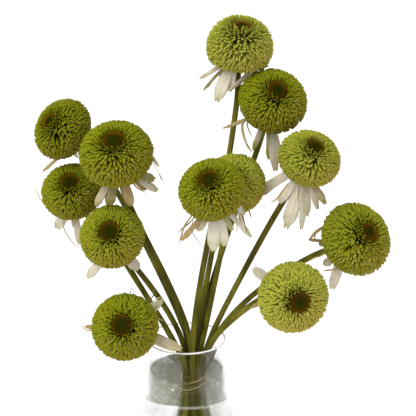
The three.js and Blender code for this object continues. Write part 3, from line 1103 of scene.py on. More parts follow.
def model_strap(corners: int, stations: Sequence[tuple[float, float]], channel: float,
                ending: Tip) -> Pattern:
    """Models a slender strap by extruding a small polygon.

    Args:
        corners: How many corners its section has.
        stations: How far along each section is, and how wide it is.
        channel: How far the edges are lifted above the middle, as a share of the width.
        ending: How the strap ends.

    Returns:
        The strap, along +Y and a unit long.
    """
    deselect_all()
    start, width = stations[0]
    bpy.ops.mesh.primitive_circle_add(vertices=corners, radius=0.5 * width, fill_type="NGON",
                                      location=(0, start, 0), rotation=(math.pi / 2, 0, 0))
    piece = bpy.context.object
    bpy.ops.object.transform_apply(location=True, rotation=True, scale=True)
    edit(piece)
    for (before, was_wide), (place, wide) in zip(stations, stations[1:]):
        bpy.ops.mesh.extrude_region_move(TRANSFORM_OT_translate={"value": (0, place - before, 0)})
        bpy.ops.transform.resize(value=(wide / was_wide, 1, wide / was_wide))
    bpy.ops.mesh.select_all(action="SELECT")
    bpy.ops.mesh.normals_make_consistent(inside=False)
    bpy.ops.object.mode_set(mode="OBJECT")
    pattern = Pattern.taken_from(piece)
    across, share, lift = pattern.points.T
    widths = np.interp(share, *zip(*stations))
    edges = np.abs(across) / np.maximum(0.5 * widths, 1e-6)
    pattern.points[:, 2] = STRAP_THINNESS * lift + channel * edges * widths
    at_end = share > 0.99
    pattern.points[at_end, 1] -= ending.value * (1 - edges[at_end])
    return pattern


@dataclass(frozen=True)
class Petal:
    """A petal: its tip from the bloom's centre, seen from the front, and its width and shade.

    The tip stands forward of the middle of the ball's underside, towards the viewer.
    """

    right: float
    up: float
    width: float
    shade: Shade = Shade.WHITE
    forward: float = 3


@dataclass(frozen=True)
class Curl:
    """A thin curled petal or filament: its points from the bloom's centre, its width and shade."""

    run: tuple[tuple[float, float], ...]
    width: float
    shade: Shade


@dataclass
class Bloom:
    """One bloom's place, size and petals, in millimetres and degrees.

    The crown's height and the depth of the underside are shares of the radius. Rust is added to
    the cone's level, and glow multiplies the florets' brightness as painted light, more
    on the more brightly lit blooms.
    """

    number: int
    at: tuple[float, float, float]
    radius: float
    azimuth: float
    elevation: float
    petals: list[Petal]
    rear: tuple[float, ...]
    curls: list[Curl] = field(default_factory=list)
    crown: float = 0.75
    under: float = UNDERSIDE
    rust: float = 0.0
    # Painted light: how brightly this bloom's florets are lit.
    glow: float = 1.0
    facing: Vector = field(init=False)
    turn: Quaternion = field(init=False)

    def __post_init__(self) -> None:
        """Works out where the crown faces."""
        azimuth, elevation = math.radians(self.azimuth), math.radians(self.elevation)
        level = math.cos(elevation)
        self.facing = Vector((level * math.cos(azimuth), level * math.sin(azimuth),
                              math.sin(elevation)))
        self.turn = Vector((0, 0, 1)).rotation_difference(self.facing)

    def name(self, part: str) -> str:
        """Gives the name of a piece of this bloom."""
        return f"{part}_{self.number:02d}"

    def node(self, part: str) -> str:
        """Gives the name of a CAD node of this bloom."""
        return f"bloom_{self.number:02d}_{part}"

    def placed(self, points: np.ndarray) -> np.ndarray:
        """Moves points from the bloom's own frame, in millimetres, to their place in metres."""
        turn = np.array(self.turn.to_matrix())
        return (points @ turn.T + np.array(self.at)) * MM

    def local(self, direction: Vector) -> Vector:
        """Turns a direction into the bloom's own frame."""
        return self.turn.inverted() @ direction

    def reach(self, polar: np.ndarray) -> np.ndarray:
        """Gives how far the florets reach.

        Args:
            polar: Angles from the crown.

        Returns:
            The reach at each angle, as a share of the radius.
        """
        flattened = 1 / np.hypot(np.sin(polar), np.cos(polar) / self.crown)
        below = np.where(np.cos(polar) < 0, self.under / np.maximum(-np.cos(polar), 1e-6), np.inf)
        return np.minimum(flattened, below)

    def at_reach(self, polar: np.ndarray, around: np.ndarray,
                 share: np.ndarray | float) -> np.ndarray:
        """Gives places in the bloom's own frame.

        Args:
            polar: Their angles from the crown.
            around: Their angles round it.
            share: How far out they are, as a share of the florets' reach.

        Returns:
            The places, in millimetres.
        """
        length = share * self.reach(polar) * self.radius
        return outward(polar, around) * length[:, None]


BLOOMS = [
    Bloom(1, (44, 62, 391), 28.2, -74, 74,
          [Petal(-19, -45, 12), Petal(-8, -37, 6.5), Petal(-33, -26, 6, Shade.CREAM),
           Petal(-30, -36, 4, Shade.OLIVE), Petal(24, -16, 5)],
          (-55, 40),
          [Curl(((15, -10), (19, -19), (13, -27), (2, -31)), 1.6, Shade.OLIVE),
           Curl(((11, -14), (5, -24), (-9, -36)), 5, Shade.CREAM),
           Curl(((18, -11), (13, -19), (3, -31)), 2.6, Shade.WHITE)],
          crown=0.95, under=0.46, rust=0.4, glow=1.5),
    Bloom(2, (71, 45, 349.5), 29, -73, 45,
          [Petal(-41, -22, 4, Shade.OCHRE), Petal(-16, -40, 5, Shade.GREEN),
           Petal(-3, -48, 5, Shade.GREEN), Petal(3, -58, 8), Petal(8, -52, 7, Shade.CREAM)],
          (-55, 40),
          [Curl(((-18, -10), (-21, -19), (-17, -30)), 1.6, Shade.OCHRE),
           Curl(((-19, -12), (-25, -20), (-22, -34), (-17, -42)), 2.6, Shade.GREEN)]),
    Bloom(3, (99, 10, 310), 26, -64, 55,
          [Petal(-41, -29, 12, Shade.CREAM, -20), Petal(-24, -36, 8), Petal(-18.5, -57, 11.5),
           Petal(-6, -58, 5.5), Petal(-1.5, -47, 7.5, Shade.CREAM), Petal(7.5, -41, 6.5),
           Petal(14, -37, 7, Shade.GREEN)],
          (-55, 40),
          [Curl(((-8, -16), (-8.5, -26), (-9, -37)), 3.6, Shade.OCHRE),
           Curl(((-9, -34), (-9, -42), (-9, -49)), 2.6, Shade.CREAM),
           Curl(((3, -24), (2.5, -37), (-3, -53)), 1.1, Shade.GREEN),
           Curl(((-17, -20), (-26, -32), (-31, -35)), 1.8, Shade.OCHRE)],
          glow=1.35),
    Bloom(4, (138, 5, 244), 31, -51, 34,
          [Petal(-38, -1, 4, Shade.OCHRE), Petal(-29, -4, 6.7, Shade.OLIVE),
           Petal(-25, -22, 7, Shade.CREAM), Petal(-19, -42, 10.5)],
          (-55, 40),
          [Curl(((-8, -20), (-13, -24), (-27, -26)), 1.8, Shade.OCHRE),
           Curl(((-20, 11), (-27, 9), (-33, 5), (-38, -1)), 3, Shade.OCHRE),
           Curl(((-30, 7), (-33, 4), (-33.5, -1)), 1.4, Shade.OLIVE),
           Curl(((-20, -6), (-27, -13), (-36, -16)), 1.2, Shade.OCHRE)],
          rust=0.5, glow=1.12),
    Bloom(5, (85, -35, 209), 29, -76, 7,
          [Petal(-31.5, 22, 8), Petal(-34, -10, 4, Shade.OCHRE)],
          (-55, 40),
          [Curl(((-18, 12), (-26, 18), (-30, 26)), 1.4, Shade.CREAM)],
          rust=0.15, glow=1.5),
    Bloom(6, (21, -38, 298), 26.5, -109, 50,
          [Petal(-24, -40, 6, Shade.OCHRE), Petal(-11, -32, 7.5, Shade.CREAM),
           Petal(1.5, -48, 10.5), Petal(10.5, -44, 9), Petal(16, -32, 5.5, Shade.GREEN),
           Petal(31, -37, 5)],
          (-90, 40),
          [Curl(((-12, -20), (-19, -27), (-22, -29), (-26, -33)), 1.1, Shade.DARK),
           Curl(((-14, -20), (-15, -32), (-6, -45)), 1.3, Shade.OLIVE),
           Curl(((17, -16), (19, -26), (19, -35)), 1.4, Shade.GREEN),
           Curl(((18, -12), (22, -21), (26, -32)), 1.6, Shade.CREAM),
           Curl(((24, -26), (26, -29), (26.5, -32.5)), 1.2, Shade.DARK),
           Curl(((-14, -18), (-21, -28), (-25, -41)), 1.8, Shade.OCHRE)]),
    Bloom(7, (39.5, 14, 288), 25.5, -95, 34,
          [Petal(8.5, -40, 5, Shade.GREEN)],
          (-70, 80),
          [Curl(((8, -14), (12, -23), (13.5, -28)), 1.6, Shade.OCHRE)],
          glow=1.35),
    Bloom(8, (-53, -18, 321), 29.5, -97, 55,
          [Petal(-22, -20, 5, Shade.CREAM), Petal(-17, -41, 7, Shade.CREAM),
           Petal(-6.5, -41, 9, Shade.OLIVE), Petal(11, -41, 8, Shade.OCHRE),
           Petal(23, -28, 6, Shade.OCHRE), Petal(32, -29, 7), Petal(30, -20, 8, Shade.GREEN)],
          (-55, 36),
          [Curl(((22, 2), (28, -3), (33, -10)), 3.2, Shade.GREEN),
           Curl(((28, -6), (32, -13), (33.5, -16)), 0.9, Shade.WHITE),
           Curl(((33, -15), (34.5, -18), (36, -21)), 1.1, Shade.DARK),
           Curl(((10, -18), (16, -26), (23, -30)), 1.6, Shade.OCHRE)]),
    Bloom(9, (-100, 32, 329), 26.5, -144, 36,
          [Petal(-20, -34, 6, Shade.OCHRE), Petal(19, -29, 5, Shade.CREAM)],
          (-80, 20), rust=0.3, glow=0.92),
    Bloom(10, (-93, 22, 279), 25.5, -94, 51,
          [Petal(-14, -31, 9), Petal(5, -44, 6), Petal(1, -30, 5, Shade.CREAM)],
          (-55, 40),
          [Curl(((-6, -16), (-7, -29), (1, -42), (9, -46)), 2.2, Shade.WHITE),
           Curl(((-19, -14), (-26, -6), (-30, 4)), 1.0, Shade.GREEN)]),
    Bloom(11, (-57, -25, 256), 26, -97, 36,
          [Petal(-21.5, -34, 7.5), Petal(20, -27, 9)],
          (-55, 40), rust=-0.1, glow=1.1),
    Bloom(12, (-47, -45, 188), 27, -97, 29,
          [Petal(-34, -2, 5, Shade.OCHRE), Petal(30, 20.5, 6.5, Shade.CREAM),
           Petal(45, -19.5, 9, Shade.CREAM), Petal(18, -22, 5, Shade.CREAM)],
          (-55, 40),
          [Curl(((3, 20), (5, 30), (8, 27), (11, 26.5)), 1.1, Shade.DARK),
           Curl(((16, 18), (22.5, 25), (23, 31)), 1.1, Shade.DARK),
           Curl(((18, 16), (25, 22), (30, 24)), 1.1, Shade.GREEN),
           Curl(((20, 4), (25, 6.5), (30.5, 4.5)), 1.1, Shade.GREEN),
           Curl(((20, 8), (23, 14), (25, 17)), 3.2, Shade.OLIVE),
           Curl(((14, -14), (13, -22), (8, -28)), 0.9, Shade.GREEN),
           Curl(((-20, 0), (-29, -3), (-35, 2)), 1.2, Shade.OCHRE)],
          rust=-0.15),
]


@dataclass
class FloretHead:
    """The ball of narrow florets round a bloom's cone.

    Angles from the crown, the scatter and the lean are in degrees, the other angles in radians.
    Lengths are shares of the ball's reach, apart from a floret's width in millimetres.
    """

    count: int = 1900
    first_polar: float = 24
    last_polar: float = 133
    crowding: float = 0.88
    scatter: float = 1.4
    stray: float = 0.03
    drift: float = 0.045
    lean: float = 15
    lean_span: float = 30
    bend_polar: float = 25
    root_polar: float = 40
    shortest: float = 0.965
    unevenness: float = 0.045
    bend_reach: float = 0.84
    root_reach: float = 0.55
    narrow: float = 1.2
    wide: float = 2.2
    twist: float = 0.3
    core_reach: float = 0.9
    deep_reach: float = 0.42
    deepening: tuple[float, float] = (38, 72)
    core_along: tuple[float, float] = (0.12, 0.5)
    hollow_share: float = 0.48
    hollow_depth: float = 0.4
    hollow_floor: float = 0.35
    hollow_spread: float = 0.48
    forward: tuple[float, float, float] = (-0.05, -1, -0.02)
    toward_ground: tuple[float, float, float] = (0.45, -0.1, -0.88)

    def __post_init__(self) -> None:
        """Models the three florets that are copied, and the core under them."""
        stations = [(0, 0.7), (0.55, 1), (0.85, 0.9)]
        self.patterns = [
            model_strap(4, stations + [(1, 0.6)], 0.2, Tip.FORKED),
            model_strap(4, stations + [(1, 0.25)], 0.14, Tip.POINTED),
            model_strap(4, stations + [(1, 0.75)], 0.26, Tip.BLUNT),
        ]
        self.core = model_ball(28, 16)

    def hollow(self, bloom: Bloom, directions: np.ndarray) -> np.ndarray:
        """Gives how deep the gaps between the florets are, from 0 to 1: deepest at the front.

        Args:
            bloom: The bloom.
            directions: Directions of length one in the bloom's own frame.

        Returns:
            The depth in each direction.
        """
        facing = directions @ np.array(bloom.local(Vector(self.forward)).normalized())
        return np.exp(-(np.arccos(np.clip(facing, -1, 1)) / self.hollow_spread) ** 2)

    def runs(self, bloom: Bloom, draw: np.random.Generator) -> Runs:
        """Lays out the florets of one bloom.

        Args:
            bloom: The bloom.
            draw: The source of random numbers.

        Returns:
            The florets' curves.
        """
        first, last = np.cos(np.radians([self.first_polar, self.last_polar]))
        share = (np.arange(self.count) + 0.5) / self.count
        polar = np.arccos(first + (last - first) * share ** self.crowding)
        polar += np.radians(draw.normal(0, self.scatter, self.count))
        around = np.arange(self.count) * GOLDEN_ANGLE + draw.normal(0, self.stray, self.count)
        outer = np.clip((np.degrees(polar) - self.first_polar) / self.lean_span, 0, 1)
        lean = np.radians(self.lean) * outer
        drift = draw.normal(0, self.drift, self.count) / np.maximum(np.sin(polar), 0.3)
        height = self.shortest + self.unevenness * draw.random(self.count)
        bend_polar = np.maximum(polar - 0.5 * lean, np.radians(self.bend_polar))
        root_polar = np.maximum(polar - lean, np.radians(self.root_polar))
        tip = bloom.at_reach(polar, around + drift, height)
        bend = bloom.at_reach(bend_polar, around, self.bend_reach * height)
        root = bloom.at_reach(root_polar, around, self.root_reach)
        width = self.narrow + (self.wide - self.narrow) * outer
        width = width * draw.uniform(0.85, 1.15, self.count)
        twist = draw.normal(0, self.twist, self.count)
        open_share = self.hollow_share * self.hollow(bloom, outward(polar, around))
        kept = draw.random(self.count) > open_share
        return Runs(root, bend, tip, sideways(around), width, width, twist).only(kept)

    def core_depth(self, bloom: Bloom, polar: np.ndarray) -> np.ndarray:
        """Gives how far the core reaches: less under the cone, and less behind the gaps.

        Args:
            bloom: The bloom.
            polar: The angle of each of the core's points from the crown.

        Returns:
            The reach of each point, as a share of the florets' reach.
        """
        depth = np.interp(np.degrees(polar), self.deepening, [self.deep_reach, self.core_reach])
        hollow = self.hollow_depth * self.hollow(bloom, self.core.points)
        return depth - hollow * (depth - self.hollow_floor)

    def build(self, bloom: Bloom, draw: np.random.Generator) -> bpy.types.Object:
        """Builds the ball of one bloom.

        Args:
            bloom: The bloom.
            draw: The source of random numbers.

        Returns:
            The finished piece.
        """
        runs = self.runs(bloom, draw)
        kind = draw.integers(0, len(self.patterns), len(runs.root))
        tint = draw.random(len(runs.root))
        polar = np.arccos(np.clip(self.core.points[:, 2], -1, 1))
        depth = self.core_depth(bloom, polar)
        radial = depth * bloom.reach(polar) * bloom.radius
        # The core takes the florets' root colours, darker deeper in: painted shade seen in the
        # gaps.
        along = np.interp(depth, [self.deep_reach, self.core_reach], self.core_along)
        ball = Bundle()
        ball.add(self.core, (self.core.points * radial[:, None])[None],
                 along=along, tint=0.3, warmth=0.2, glow=bloom.glow)
        ground = np.array(bloom.local(Vector(self.toward_ground)))
        for number, pattern in enumerate(self.patterns):
            chosen = kind == number
            laid = runs.only(chosen).laid(pattern)
            warmth = 0.5 + 0.5 * unit(laid[:, -1]) @ ground + draw.normal(0, 0.12, len(laid))
            ball.add(pattern, laid, along=pattern.points[:, 1], tint=tint[chosen][:, None],
                     warmth=np.clip(warmth, 0, 1)[:, None], glow=bloom.glow)
        return ball.piece(bloom, "florets")


@dataclass
class BristleCone:
    """The small cone of bristles sunk in a bloom's crown.

    Sizes are shares of the ball's, apart from the width of a bristle in millimetres.
    """

    count: int = 150
    radius: float = 0.31
    half_height: float = 0.13
    level: float = 0.6
    spread: float = 1.18
    shortest: float = 0.1
    unevenness: float = 0.05
    headroom: float = 0.03
    seat: float = 0.7
    bulge: float = 0.02
    fan: tuple[float, float, float] = (0.75, 0.75, 1)
    upright: float = 0.35
    bristle: float = 1.0
    bristle_depth: float = 2.4
    button: float = 0.86
    button_levels: float = 1.6
    sunlit: float = 0.3
    sunny: tuple[float, float, float] = (-0.55, -0.1, 0.8)

    def __post_init__(self) -> None:
        """Models the bristle that is copied and the ball that its button is shaped from."""
        stations = [(0, 1), (0.45, 0.95), (0.8, 0.6), (1, 0.15)]
        self.pattern = model_strap(5, stations, 0, Tip.POINTED)
        self.ball = model_ball(24, 12)

    def rust_and_painted_light(self, bloom: Bloom, points: np.ndarray, level: np.ndarray) -> np.ndarray:
        """Adds painted light on the sunny side to the level, and rust all over a rusty bloom.

        Args:
            bloom: The bloom.
            points: The points, in the bloom's own frame.
            level: How far out each point is, from 0 to 1.

        Returns:
            The level that the finish reads.
        """
        sunny = np.array(bloom.local(Vector(self.sunny)))[:2]
        # Painted light: the sunny side of the cone turns rustier and brighter.
        lit = self.sunlit * points[..., :2] @ sunny / (self.radius * bloom.radius)
        return level + (lit + bloom.rust) * np.clip(level, 0, 1)

    def build(self, bloom: Bloom, draw: np.random.Generator) -> bpy.types.Object:
        """Builds the cone of one bloom.

        Args:
            bloom: The bloom.
            draw: The source of random numbers.

        Returns:
            The finished piece.
        """
        size = np.array([self.radius, self.radius, self.half_height]) * bloom.radius
        middle = np.array([0, 0, self.level * bloom.crown * bloom.radius])
        share = (np.arange(self.count) + 0.5) / self.count
        polar = np.arccos(1 - self.spread * share)
        around = np.arange(self.count) * GOLDEN_ANGLE
        facing = outward(polar, around)
        upright = unit(facing * self.fan + [0, 0, self.upright])
        root = middle + facing * size * self.seat
        length = bloom.radius * (self.shortest + self.unevenness * draw.random(self.count))
        tip = root + upright * length[:, None]
        ceiling = middle[2] + (self.half_height + self.headroom) * bloom.radius
        tip[:, 2] = np.minimum(tip[:, 2], ceiling)
        bend = 0.5 * (root + tip) + facing * self.bulge * bloom.radius
        width = self.bristle * draw.uniform(0.8, 1.2, self.count)
        depth = self.bristle_depth * width
        runs = Runs(root, bend, tip, sideways(around), width, depth, 0 * width)
        laid = runs.laid(self.pattern)
        button = (self.ball.points * size * self.button + middle)[None]
        button_polar = np.arccos(np.clip(self.ball.points[:, 2], -1, 1))
        button_level = button_polar / math.pi * self.button_levels
        bristle_level = (polar / polar.max())[:, None]
        cone = Bundle()
        cone.add(self.ball, button, along=0.2, level=self.rust_and_painted_light(bloom, button, button_level))
        cone.add(self.pattern, laid, along=self.pattern.points[:, 1],
                 level=self.rust_and_painted_light(bloom, laid, bristle_level))
        return cone.piece(bloom, "cone")


@dataclass
class PetalSkirt:
    """The drooping white petals under a bloom."""

    gap: float = 0.3
    hub_radius: float = 5
    hub_thickness: float = 1.4
    root_reach: float = 0.6
    bend_reach: float = 0.55
    rear_reach: float = 0.78
    rear_drop: float = 18
    rear_sag: float = 8
    rear_width: float = 6.5
    thickness: float = 0.4
    columns: int = 12
    rows: int = 24
    twist: float = 0.18
    slender: float = 5.5
    slender_curl: float = 0.35
    ridges: int = 3
    ridge_height: float = 0.045
    flutter: float = 0.07
    shade_spread: float = 0.07

    def __post_init__(self) -> None:
        """Models the flat petal that is copied."""
        self.pattern = model_blade(self.columns, self.rows)

    def tips(self, bloom: Bloom) -> list[tuple[Vector, float, Shade]]:
        """Gives where the petals of a bloom end.

        Args:
            bloom: The bloom.

        Returns:
            Each petal's tip in the bloom's own frame, its width and its shade.
        """
        away, down = bloom.local(VIEW_AWAY), bloom.local(Vector((0, 0, -1)))
        under = bloom.under * bloom.radius
        found = []
        for petal in bloom.petals:
            tip = bloom.local(VIEW_RIGHT * petal.right + VIEW_UP * petal.up)
            clear = (tip.z + under + 1) / -away.z
            tip += away * max(-away.z * under - petal.forward, clear)
            found.append((tip, petal.width, petal.shade))
        rearmost = math.atan2(away.y, away.x)
        for turn in bloom.rear:
            angle = rearmost + math.radians(turn)
            reach = self.rear_reach * bloom.radius
            tip = Vector((reach * math.cos(angle), reach * math.sin(angle), -under))
            tip += down * self.rear_sag - Vector((0, 0, self.rear_drop))
            found.append((tip, self.rear_width, Shade.WHITE))
        return found

    def shaped(self, width: float, draw: np.random.Generator) -> Pattern:
        """Gives one petal its own outline, ridges, curl and toothed tip.

        Args:
            width: Its full width.
            draw: The source of random numbers.

        Returns:
            The petal, a unit long, with its width and relief in millimetres.
        """
        across, share, _ = self.pattern.points.T
        teeth = draw.integers(2, 4)
        torn = 0.02 + 0.03 * draw.random()
        near_tip = np.clip((share - 0.75) / 0.25, 0, 1)
        rounding = 0.11 * (2 * np.abs(across)) ** 3
        notches = torn * (0.5 + 0.5 * np.cos(math.tau * teeth * across + draw.uniform(-0.6, 0.6)))
        place = share - near_tip ** 2 * (rounding + notches)
        breadth = width * (0.32 + 0.7 * np.sin(math.pi * 0.62 * share)) * (1 - 0.12 * near_tip ** 2)
        curl = draw.uniform(0.05, 0.25) + (self.slender_curl if width < self.slender else 0)
        ridges = np.cos(math.tau * self.ridges * across) * np.sin(math.pi * np.clip(share, 0, 0.96))
        flutter = np.sin(math.tau * (1.6 * share + draw.random())) * across * 2 * share
        relief = self.ridge_height * ridges + self.flutter * flutter
        lift = breadth * (0.25 * curl - curl * (2 * across) ** 2 * 0.5 + relief)
        narrowed = across * breadth * (1 - 0.25 * curl)
        return Pattern(np.stack([narrowed, place, lift], -1), self.pattern.faces)

    def build(self, bloom: Bloom, draw: np.random.Generator) -> bpy.types.Object:
        """Builds the petals of one bloom.

        Args:
            bloom: The bloom.
            draw: The source of random numbers.

        Returns:
            The finished piece.
        """
        hub_height = -bloom.under * bloom.radius - self.gap - 0.3 * self.hub_thickness
        hub = np.array([0, 0, hub_height])
        skirt = Bundle()
        for tip, width, shade in self.tips(bloom):
            facing = unit(np.array([tip.x, tip.y, 0]))
            shape = self.shaped(width, draw)
            root = hub + facing * self.root_reach * self.hub_radius
            bend = hub + facing * self.bend_reach * bloom.radius
            side = (facing[1], -facing[0], 0)
            run = Runs.single((root, bend, tip, side), 1, draw.normal(0, self.twist))
            shades = {name: np.clip(amount + draw.normal(0, self.shade_spread), 0, 1)
                      for name, amount in zip(SHADE_MARKS, shade.value)}
            across, along, _ = self.pattern.points.T
            skirt.add(shape, run.laid(shape), along=along, across=across, **shades)
        piece = skirt.piece(bloom, "petals")
        thicken(piece, self.thickness)
        return piece


@dataclass
class Curls:
    """The thin curls and filaments that hang from some blooms."""

    corners: int = 8
    flatness: float = 0.3
    step: float = 1.2
    taper: tuple[tuple[float, float], ...] = ((0, 0.7), (0.5, 1), (0.85, 0.8), (1, 0.3))

    def build(self, bloom: Bloom) -> bpy.types.Object:
        """Builds the curls of one bloom that has some.

        Args:
            bloom: The bloom.

        Returns:
            The finished piece.
        """
        strands = []
        for curl in bloom.curls:
            run = [Vector(bloom.at) + VIEW_RIGHT * right + VIEW_UP * up for right, up in curl.run]
            path = smooth_path(np.array(run), self.step) * MM
            half = 0.5 * curl.width * MM
            widths = np.interp(np.linspace(0, 1, len(path)), *zip(*self.taper))
            section = oval(self.corners, half * self.flatness, half)
            strand = swept(bloom.name("curls"), path, section, widths)
            points = len(strand.data.vertices)
            marks = zip(("along", "across", *SHADE_MARKS), (0.5, 0.1, *curl.shade.value))
            for name, amount in marks:
                mark(strand.data, name, np.full(points, amount))
            strands.append(strand)
        return joined_piece(strands)


@dataclass
class Calyx:
    """The flared end of a stem, with its bracts, that holds a bloom's petals."""

    bracts: int = 24
    steps: int = 20
    merge: float = 0.001
    seat: float = 3.3
    lowest: float = -4.5
    climb: float = 3.5
    lengths: tuple[float, float] = (4.5, 7.5)
    arch: float = 1.2
    droop: tuple[float, float] = (0.5, 4)
    widths: tuple[float, float] = (1.6, 2.3)
    stray: float = 0.08
    twist: float = 0.3
    flare: tuple[tuple[float, float], ...] = (
        (0, 2), (4.6, 1.6), (5.4, 0.2), (4.6, -1.6), (3.5, -3.2), (2.9, -6), (2.4, -10.5),
        (0, -10.5))

    def __post_init__(self) -> None:
        """Models the bract that is copied."""
        stations = [(0, 0.9), (0.35, 1), (0.7, 0.75), (1, 0.12)]
        self.pattern = model_strap(4, stations, 0.18, Tip.POINTED)

    def build(self, bloom: Bloom, draw: np.random.Generator) -> bpy.types.Object:
        """Builds the calyx of one bloom.

        Args:
            bloom: The bloom.
            draw: The source of random numbers.

        Returns:
            The finished piece.
        """
        under = -bloom.under * bloom.radius
        profile = np.array(self.flare) + [0, under]
        flare = Pattern.taken_from(spun("flare", profile, self.steps, self.merge))
        number = np.arange(self.bracts)
        around = number * GOLDEN_ANGLE + draw.normal(0, self.stray, self.bracts)
        facing = spokes(around)
        share = number / self.bracts
        root = facing * (self.seat + share[:, None])
        root[:, 2] += under + self.lowest + self.climb * share
        length = draw.uniform(*self.lengths, self.bracts)[:, None]
        bend = root + facing * 0.5 * length + [0, 0, self.arch]
        tip = root + facing * 0.85 * length
        tip[:, 2] -= draw.uniform(*self.droop, self.bracts)
        width = draw.uniform(*self.widths, self.bracts)
        twist = draw.normal(0, self.twist, self.bracts)
        runs = Runs(root, bend, tip, sideways(around), width, width, twist)
        calyx = Bundle()
        calyx.add(flare, flare.points[None], along=0.25)
        calyx.add(self.pattern, runs.laid(self.pattern), along=self.pattern.points[:, 1])
        return calyx.piece(bloom, "calyx")


@dataclass
class Stem:
    """A bloom's ribbed stem, from its calyx down to its cut end in the water."""

    radius: float = 2.3
    ribs: int = 9
    rib_height: float = 0.05
    calyx_room: float = 11
    below_hub: float = 2.0
    ring_reach: float = 2.4
    step: float = 3.5
    swellings: int = 14
    swelling: float = 0.04
    flare: float = 0.1
    flare_length: float = 1 / 6

    def axis(self, bloom: Bloom) -> np.ndarray:
        """Reads the axis from the CAD stem, whose tube is made of rings of six points.

        Args:
            bloom: The bloom at the top of the stem.

        Returns:
            The middles of the rings, from the calyx down, in metres.
        """
        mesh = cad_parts[bloom.node("stem")].data
        points = np.unique(np.round([vertex.co for vertex in mesh.vertices], 6), axis=0)
        below = bloom.under * bloom.radius + self.below_hub
        top = (np.array(bloom.at) - np.array(bloom.facing) * below) * MM
        points = points[np.linalg.norm(points - top, axis=1) > self.calyx_room * MM]
        middles = []
        while len(points):
            away = np.linalg.norm(points - points[0], axis=1)
            near = away < self.ring_reach * self.radius * MM
            middles.append(points[near].mean(axis=0))
            points = points[~near]
        route = [top]
        while middles:
            away = [np.linalg.norm(middle - route[-1]) for middle in middles]
            route.append(middles.pop(int(np.argmin(away))))
        return np.array(route)

    def build(self, bloom: Bloom, draw: np.random.Generator) -> bpy.types.Object:
        """Builds the stem of one bloom.

        Args:
            bloom: The bloom.
            draw: The source of random numbers.

        Returns:
            The finished piece.
        """
        path = smooth_path(self.axis(bloom), self.step * MM)
        corners = 4 * self.ribs
        around = np.linspace(0, math.tau, corners, endpoint=False)
        ribbed = 1 + self.rib_height * np.cos(self.ribs * around)
        section = oval(corners, self.radius * MM, self.radius * MM) * ribbed[:, None]
        share = np.linspace(0, 1, len(path))
        bumps = draw.uniform(-self.swelling, self.swelling, self.swellings)
        bumps = np.interp(share, np.linspace(0, 1, self.swellings), bumps)
        widths = 1 + self.flare * np.clip(1 - share / self.flare_length, 0, 1) + bumps
        return swept(bloom.name("stem"), path, section, widths)


@dataclass
class Vase:
    """The clear vase: an upright blown neck over a swelling body."""

    segments: int = 112
    step: float = 2
    merge: float = 1e-5
    wave: float = 0.3
    wave_grain: float = 95
    wave_foot: float = 104
    wave_top: float = 138
    wave_fade: float = 8
    outside: tuple[tuple[float, float], ...] = (
        (0, 0), (30, 0), (38, 0.3), (45, 4), (51, 22), (54, 46), (52, 64), (45, 86), (37, 102),
        (33.3, 110), (32.5, 118), (32.5, 136), (32.5, 154), (33.4, 157.6), (33.2, 159.6),
        (32.3, 160))
    inside: tuple[tuple[float, float], ...] = (
        (31.3, 159.5), (30.5, 155), (30.5, 136), (30.5, 118), (31.4, 110), (34.7, 100.5),
        (42.5, 84.5), (49.4, 63), (51.4, 46), (48, 24), (42, 11), (36, 8), (20, 7.8), (0, 8))

    def build(self) -> bpy.types.Object:
        """Builds the vase, with a slight wave in its neck.

        Returns:
            The finished piece.
        """
        walls = [smooth_path(np.array(wall), self.step) for wall in (self.outside, self.inside)]
        profile = np.maximum(np.vstack(walls), 0)
        piece = spun("vase_glass", profile * MM, self.segments, self.merge)
        for vertex in piece.data.vertices:
            height = vertex.co.z / MM
            if self.wave_foot < height < self.wave_top:
                from_end = min(height - self.wave_foot, self.wave_top - height)
                amount = self.wave * min(1, from_end / self.wave_fade)
                radial = Vector((vertex.co.x, vertex.co.y, 0)).normalized()
                vertex.co += radial * amount * MM * noise.noise(vertex.co * self.wave_grain)
        return piece


@dataclass
class Water:
    """The water that stands in the vase, up to a little over the foot of the leaf."""

    level: float = 131
    gap: float = 0.3
    floor: float = 12
    meniscus: tuple[tuple[float, float], ...] = ((0, 1.1), (0.9, 0.35), (2.4, 0))
    rings: tuple[float, ...] = (0.8, 0.6, 0.4, 0.2, 0)

    def build(self, vase: Vase) -> bpy.types.Object:
        """Builds the water.

        Args:
            vase: The vase that it fills.

        Returns:
            The finished piece.
        """
        wall = smooth_path(np.array(vase.inside[::-1]), vase.step)
        wet = wall[wall[:, 1] <= self.level]
        wet = wet + np.where(wet[:, 1:] < self.floor, [-self.gap, self.gap], [-self.gap, 0])
        side = wall[wall[:, 1] >= self.floor]
        rim = np.interp(self.level, side[:, 1], side[:, 0]) - self.gap
        surface = [(rim - inward, self.level + rise) for inward, rise in self.meniscus]
        surface += [(rim * share, self.level) for share in self.rings]
        profile = np.vstack([[(0, wet[0, 1])], wet[wet[:, 0] > 0], surface])
        return spun("vase_water", profile * MM, vase.segments, vase.merge)


@dataclass
class Tie:
    """The twisted twine wound a little over twice round the stems."""

    middle: float = 6
    turn: float = 11.6
    foot: float = 114
    rise: float = 13
    turns: float = 2.3
    start: float = -0.4
    tilt: float = 0.26
    strand: float = 0.42
    offset: float = 0.34
    lay: float = 3.4
    steps: int = 300
    corners: int = 8

    def build(self) -> bpy.types.Object:
        """Builds the twine from its two strands.

        Returns:
            The finished piece.
        """
        length = math.tau * self.turn * self.turns
        share = np.linspace(0, 1, self.steps)
        facing = spokes(self.start + math.tau * self.turns * share)
        path = facing * self.turn + [self.middle, 0, 0]
        path[:, 2] = self.foot + self.rise * share + self.tilt * (path[:, 0] - self.middle)
        section = oval(self.corners, self.strand * MM, self.strand * MM)
        strands = []
        for phase in (0, math.pi):
            wind = (math.tau * length / self.lay * share + phase)[:, None]
            around = facing * np.cos(wind) + np.array([0, 0, 1]) * np.sin(wind)
            run = (path + self.offset * around) * MM
            strands.append(swept("tie_twine", run, section, np.ones(self.steps)))
        return joined_piece(strands)


